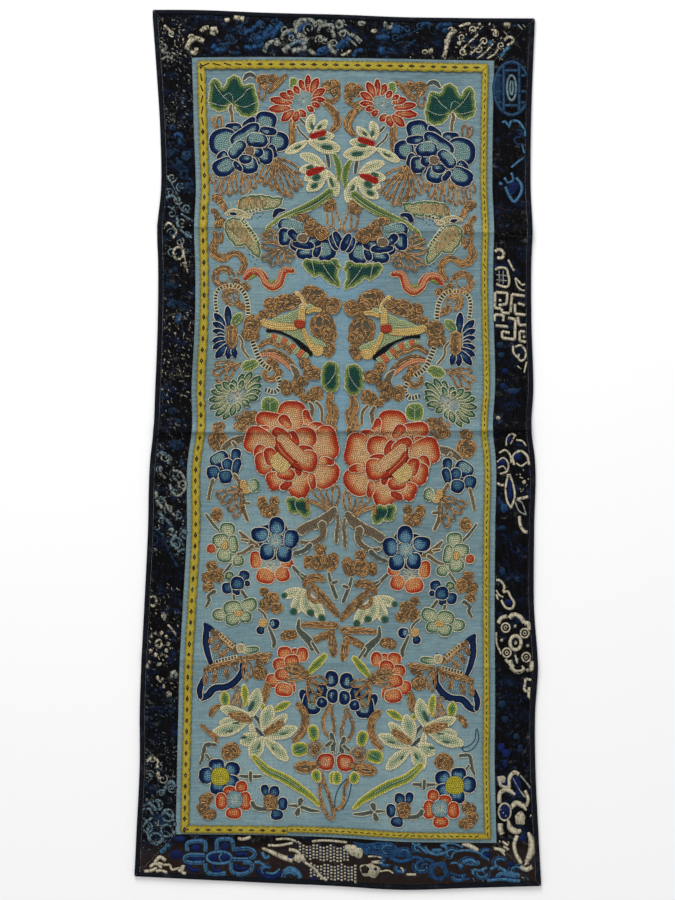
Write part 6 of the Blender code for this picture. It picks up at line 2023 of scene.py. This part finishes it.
                strokeOn(heap, ((x, y + lean * k), (x + 2.1, y + lean * k + 0.2)), 2.1, "cream", 0.1, 3)
            strokeOn(heap, ((x + 2.8, top), (x + 2.8, foot)), 0.9, "dim" if k % 2 else "deep", 0.1, 2)
    heapMesh("brocadeScalesBottom", heap, figureWeave)


# Woven figures of the ribbons: pitch, length and width in millimetres, and whether they are open diamonds
ribbonFigures = {"Left": (7.35, 4.6, 2.3, True), "Top": (7.3, 4.6, 2.2, True),
                 "BottomLeft": (7.3, 4.4, 2.0, True), "Right": (4.3, 2.4, 0.9, False),
                 "BottomRight": (4.3, 2.4, 0.9, False)}
ribbonSpans = (("Left", "Left", 1.0, -256.0, 259.0), ("Right", "Right", -1.0, -259.0, 256.0),
               ("Top", "Top", -1.0, -89.0, 96.0), ("BottomLeft", "Bottom", 1.0, -102.0, -36.0),
               ("BottomRight", "Bottom", 1.0, -31.0, 98.0))


# Black diamonds on the wide ribbon and short dashes on the narrow one, with the stitches along both edges.
def figureRibbons(silkThread):
    heap, face = newHeap(), cloths["band"] + cloths["gap"] + cloths["ribbon"]
    for name, kind, sign, start, stop in ribbonSpans:
        row, (pitch, long, wide, diamond) = ribbons[name], ribbonFigures[name]
        upright = kind in ("Left", "Right")
        lineOf = longLine if upright else shortLine
        middle = lineOf("field" + kind, sign * (row["margin"] + row["width"] / 2))
        for place in np.arange(start, stop, pitch):
            side = float(middle(place))
            centre = np.array((side, place) if upright else (place, side))
            slope = float(middle(place + 1) - middle(place - 1)) / 2
            a = np.arctan2(slope, 1.0)
            runWay = np.array((np.sin(a), np.cos(a)) if upright else (np.cos(a), np.sin(a)))
            across = np.array((-runWay[1], runWay[0]))
            worn = (name == "Top" and place < -66) or (name == "Left" and place > 205 and draw.random() < 0.6)
            black = np.tile(threadTones["black"], (8, 1))
            foot = float(liftAt(*centre)) + face - 0.05
            size = draw.uniform(0.85, 1.1)
            if diamond and not worn:
                wideHere = wide / 2 * draw.uniform(0.9, 1.15)
                dash = np.array([centre + runWay * long / 2 * size * v for v in np.linspace(-1, 1, 7)])
                body = wideHere * np.array((0.12, 0.3, 0.75, 1.0, 0.75, 0.3, 0.12))
                addRidge(heap, dash, np.full(7, foot), body, 0.3, black[:7], False)
                shine = np.tile(np.array(threadTones["bone"]) * draw.uniform(0.35, 0.8), (1, 1))
                addKnots(heap, centre[None] + draw.normal(0, 0.12, (1, 2)), np.full(1, foot + 0.2), 0.34,
                         0.25, shine)
            else:
                lean = runWay + across * draw.normal(0, 0.25)
                dash = np.array([centre - lean * long / 2 * size, centre, centre + lean * long / 2 * size])
                addRidge(heap, dash, np.full(3, foot), 0.36 if not diamond else 0.5, 0.3, black[:3], False)
        for edge, inset in ((row["margin"] + row["width"] - 0.5, 1), (row["margin"] + 0.4, -1)):
            line = lineOf("field" + kind, sign * edge)
            for place in np.arange(start, stop, 3.4):
                place = place + draw.uniform(-0.4, 0.4)
                side = float(line(place))
                first = np.array((side, place) if upright else (place, side))
                step = np.array((sign * inset * 1.5, 0.5) if upright else (0.5, sign * inset * 1.5))
                stitchLine = np.array([first, first + step * 0.5, first + step])
                height = liftAt(stitchLine[:, 0], stitchLine[:, 1]) + face + np.array((-0.05, -0.35, -1.1))
                addRidge(heap, stitchLine, height, 0.16, 0.22, np.tile(threadTones["ribbonStitch"], (3, 1)),
                         False)
    heapMesh("ribbonFigures", heap, silkThread)


# Running stitches that hold the binding, and the seam between the two bands.
def sewEdges(silkThread):
    heap, inset = newHeap(), cloths["bindingWidth"] + 0.9
    for kind, sign, start, stop in (("Left", 1.0, -285.0, 288.0), ("Right", -1.0, -285.0, 284.0),
                                    ("Top", -1.0, -112.0, 122.0), ("Bottom", 1.0, -126.0, 126.0)):
        upright = kind in ("Left", "Right")
        line = (longLine if upright else shortLine)("outer" + kind, sign * inset)
        for place in np.arange(start, stop, 3.6):
            run = np.array([place, place + 0.9, place + 1.8]) + draw.uniform(-0.3, 0.3)
            path = np.column_stack([line(run), run] if upright else [run, line(run)])
            height = liftAt(path[:, 0], path[:, 1]) + cloths["border"] + np.array((-0.25, -0.04, -0.25))
            addRidge(heap, path, height, 0.17, 0.24, np.tile(threadTones["bindingStitch"], (3, 1)), False)
    y = np.arange(-262.5, 263.5, 1.1)
    seam = np.column_stack([longLine("seam")(y), y])
    fine = np.tile(threadTones["seam"], (len(y), 1)) * draw.normal(1, 0.08, (len(y), 1))
    addRidge(heap, seam, surface(seam) - 0.25, 0.55, 0.33, fine, False)
    heapMesh("seamStitches", heap, silkThread)


# Gilt thread: its three tones, its glint and its shadow
giltTones = np.array([hexColour(code)[:3] for code in ("#c49358", "#ad814d", "#946f46", "#dbb074",
                                                       "#6b5239")])
threadTones = {name: hexColour(code)[:3] for name, code in {
    "cream": "#cfc7ab", "bone": "#cdbf96", "black": "#17171a", "red": "#a82c20", "pale": "#aebcb0",
    "ink": "#24425a", "ribbonStitch": "#8c7a24", "bindingStitch": "#2c3442",
    "seam": "#6f878b"}.items()}


makeStage()
print("stage made")
silk, brocade, tape, weave = makeSilk(), makeBrocade(), makeBinding(), makeRibbonWeave()
rows = rowPlaces(cloths["grid"])
layBands(rows, silk)
layRibbons(weave)
layFrame(rows, brocade, tape)
print("cloth laid")

for sewOn in (sewTop, sewButterflies, sewScrolls, sewEmblem, sewMiddle, sewPeony, sewBranches,
              sewLowerButterfly, sewLilies):
    sewOn()
print("forms", len(forms), "threads", len(threads))
silkThread = makeThread("twistedSilkThread", 0.6)
embroider(makeThread("giltWrappedThread", 0.5, 0.25, 0.3), silkThread)
print("embroidery sewn")
figureWeave = makeWornFigure()
for weaveSide in (figureTop, figureLeft, figureRight, figureBottom):
    weaveSide()
figureRibbons(silkThread)
sewEdges(silkThread)
print("figures and seams added")
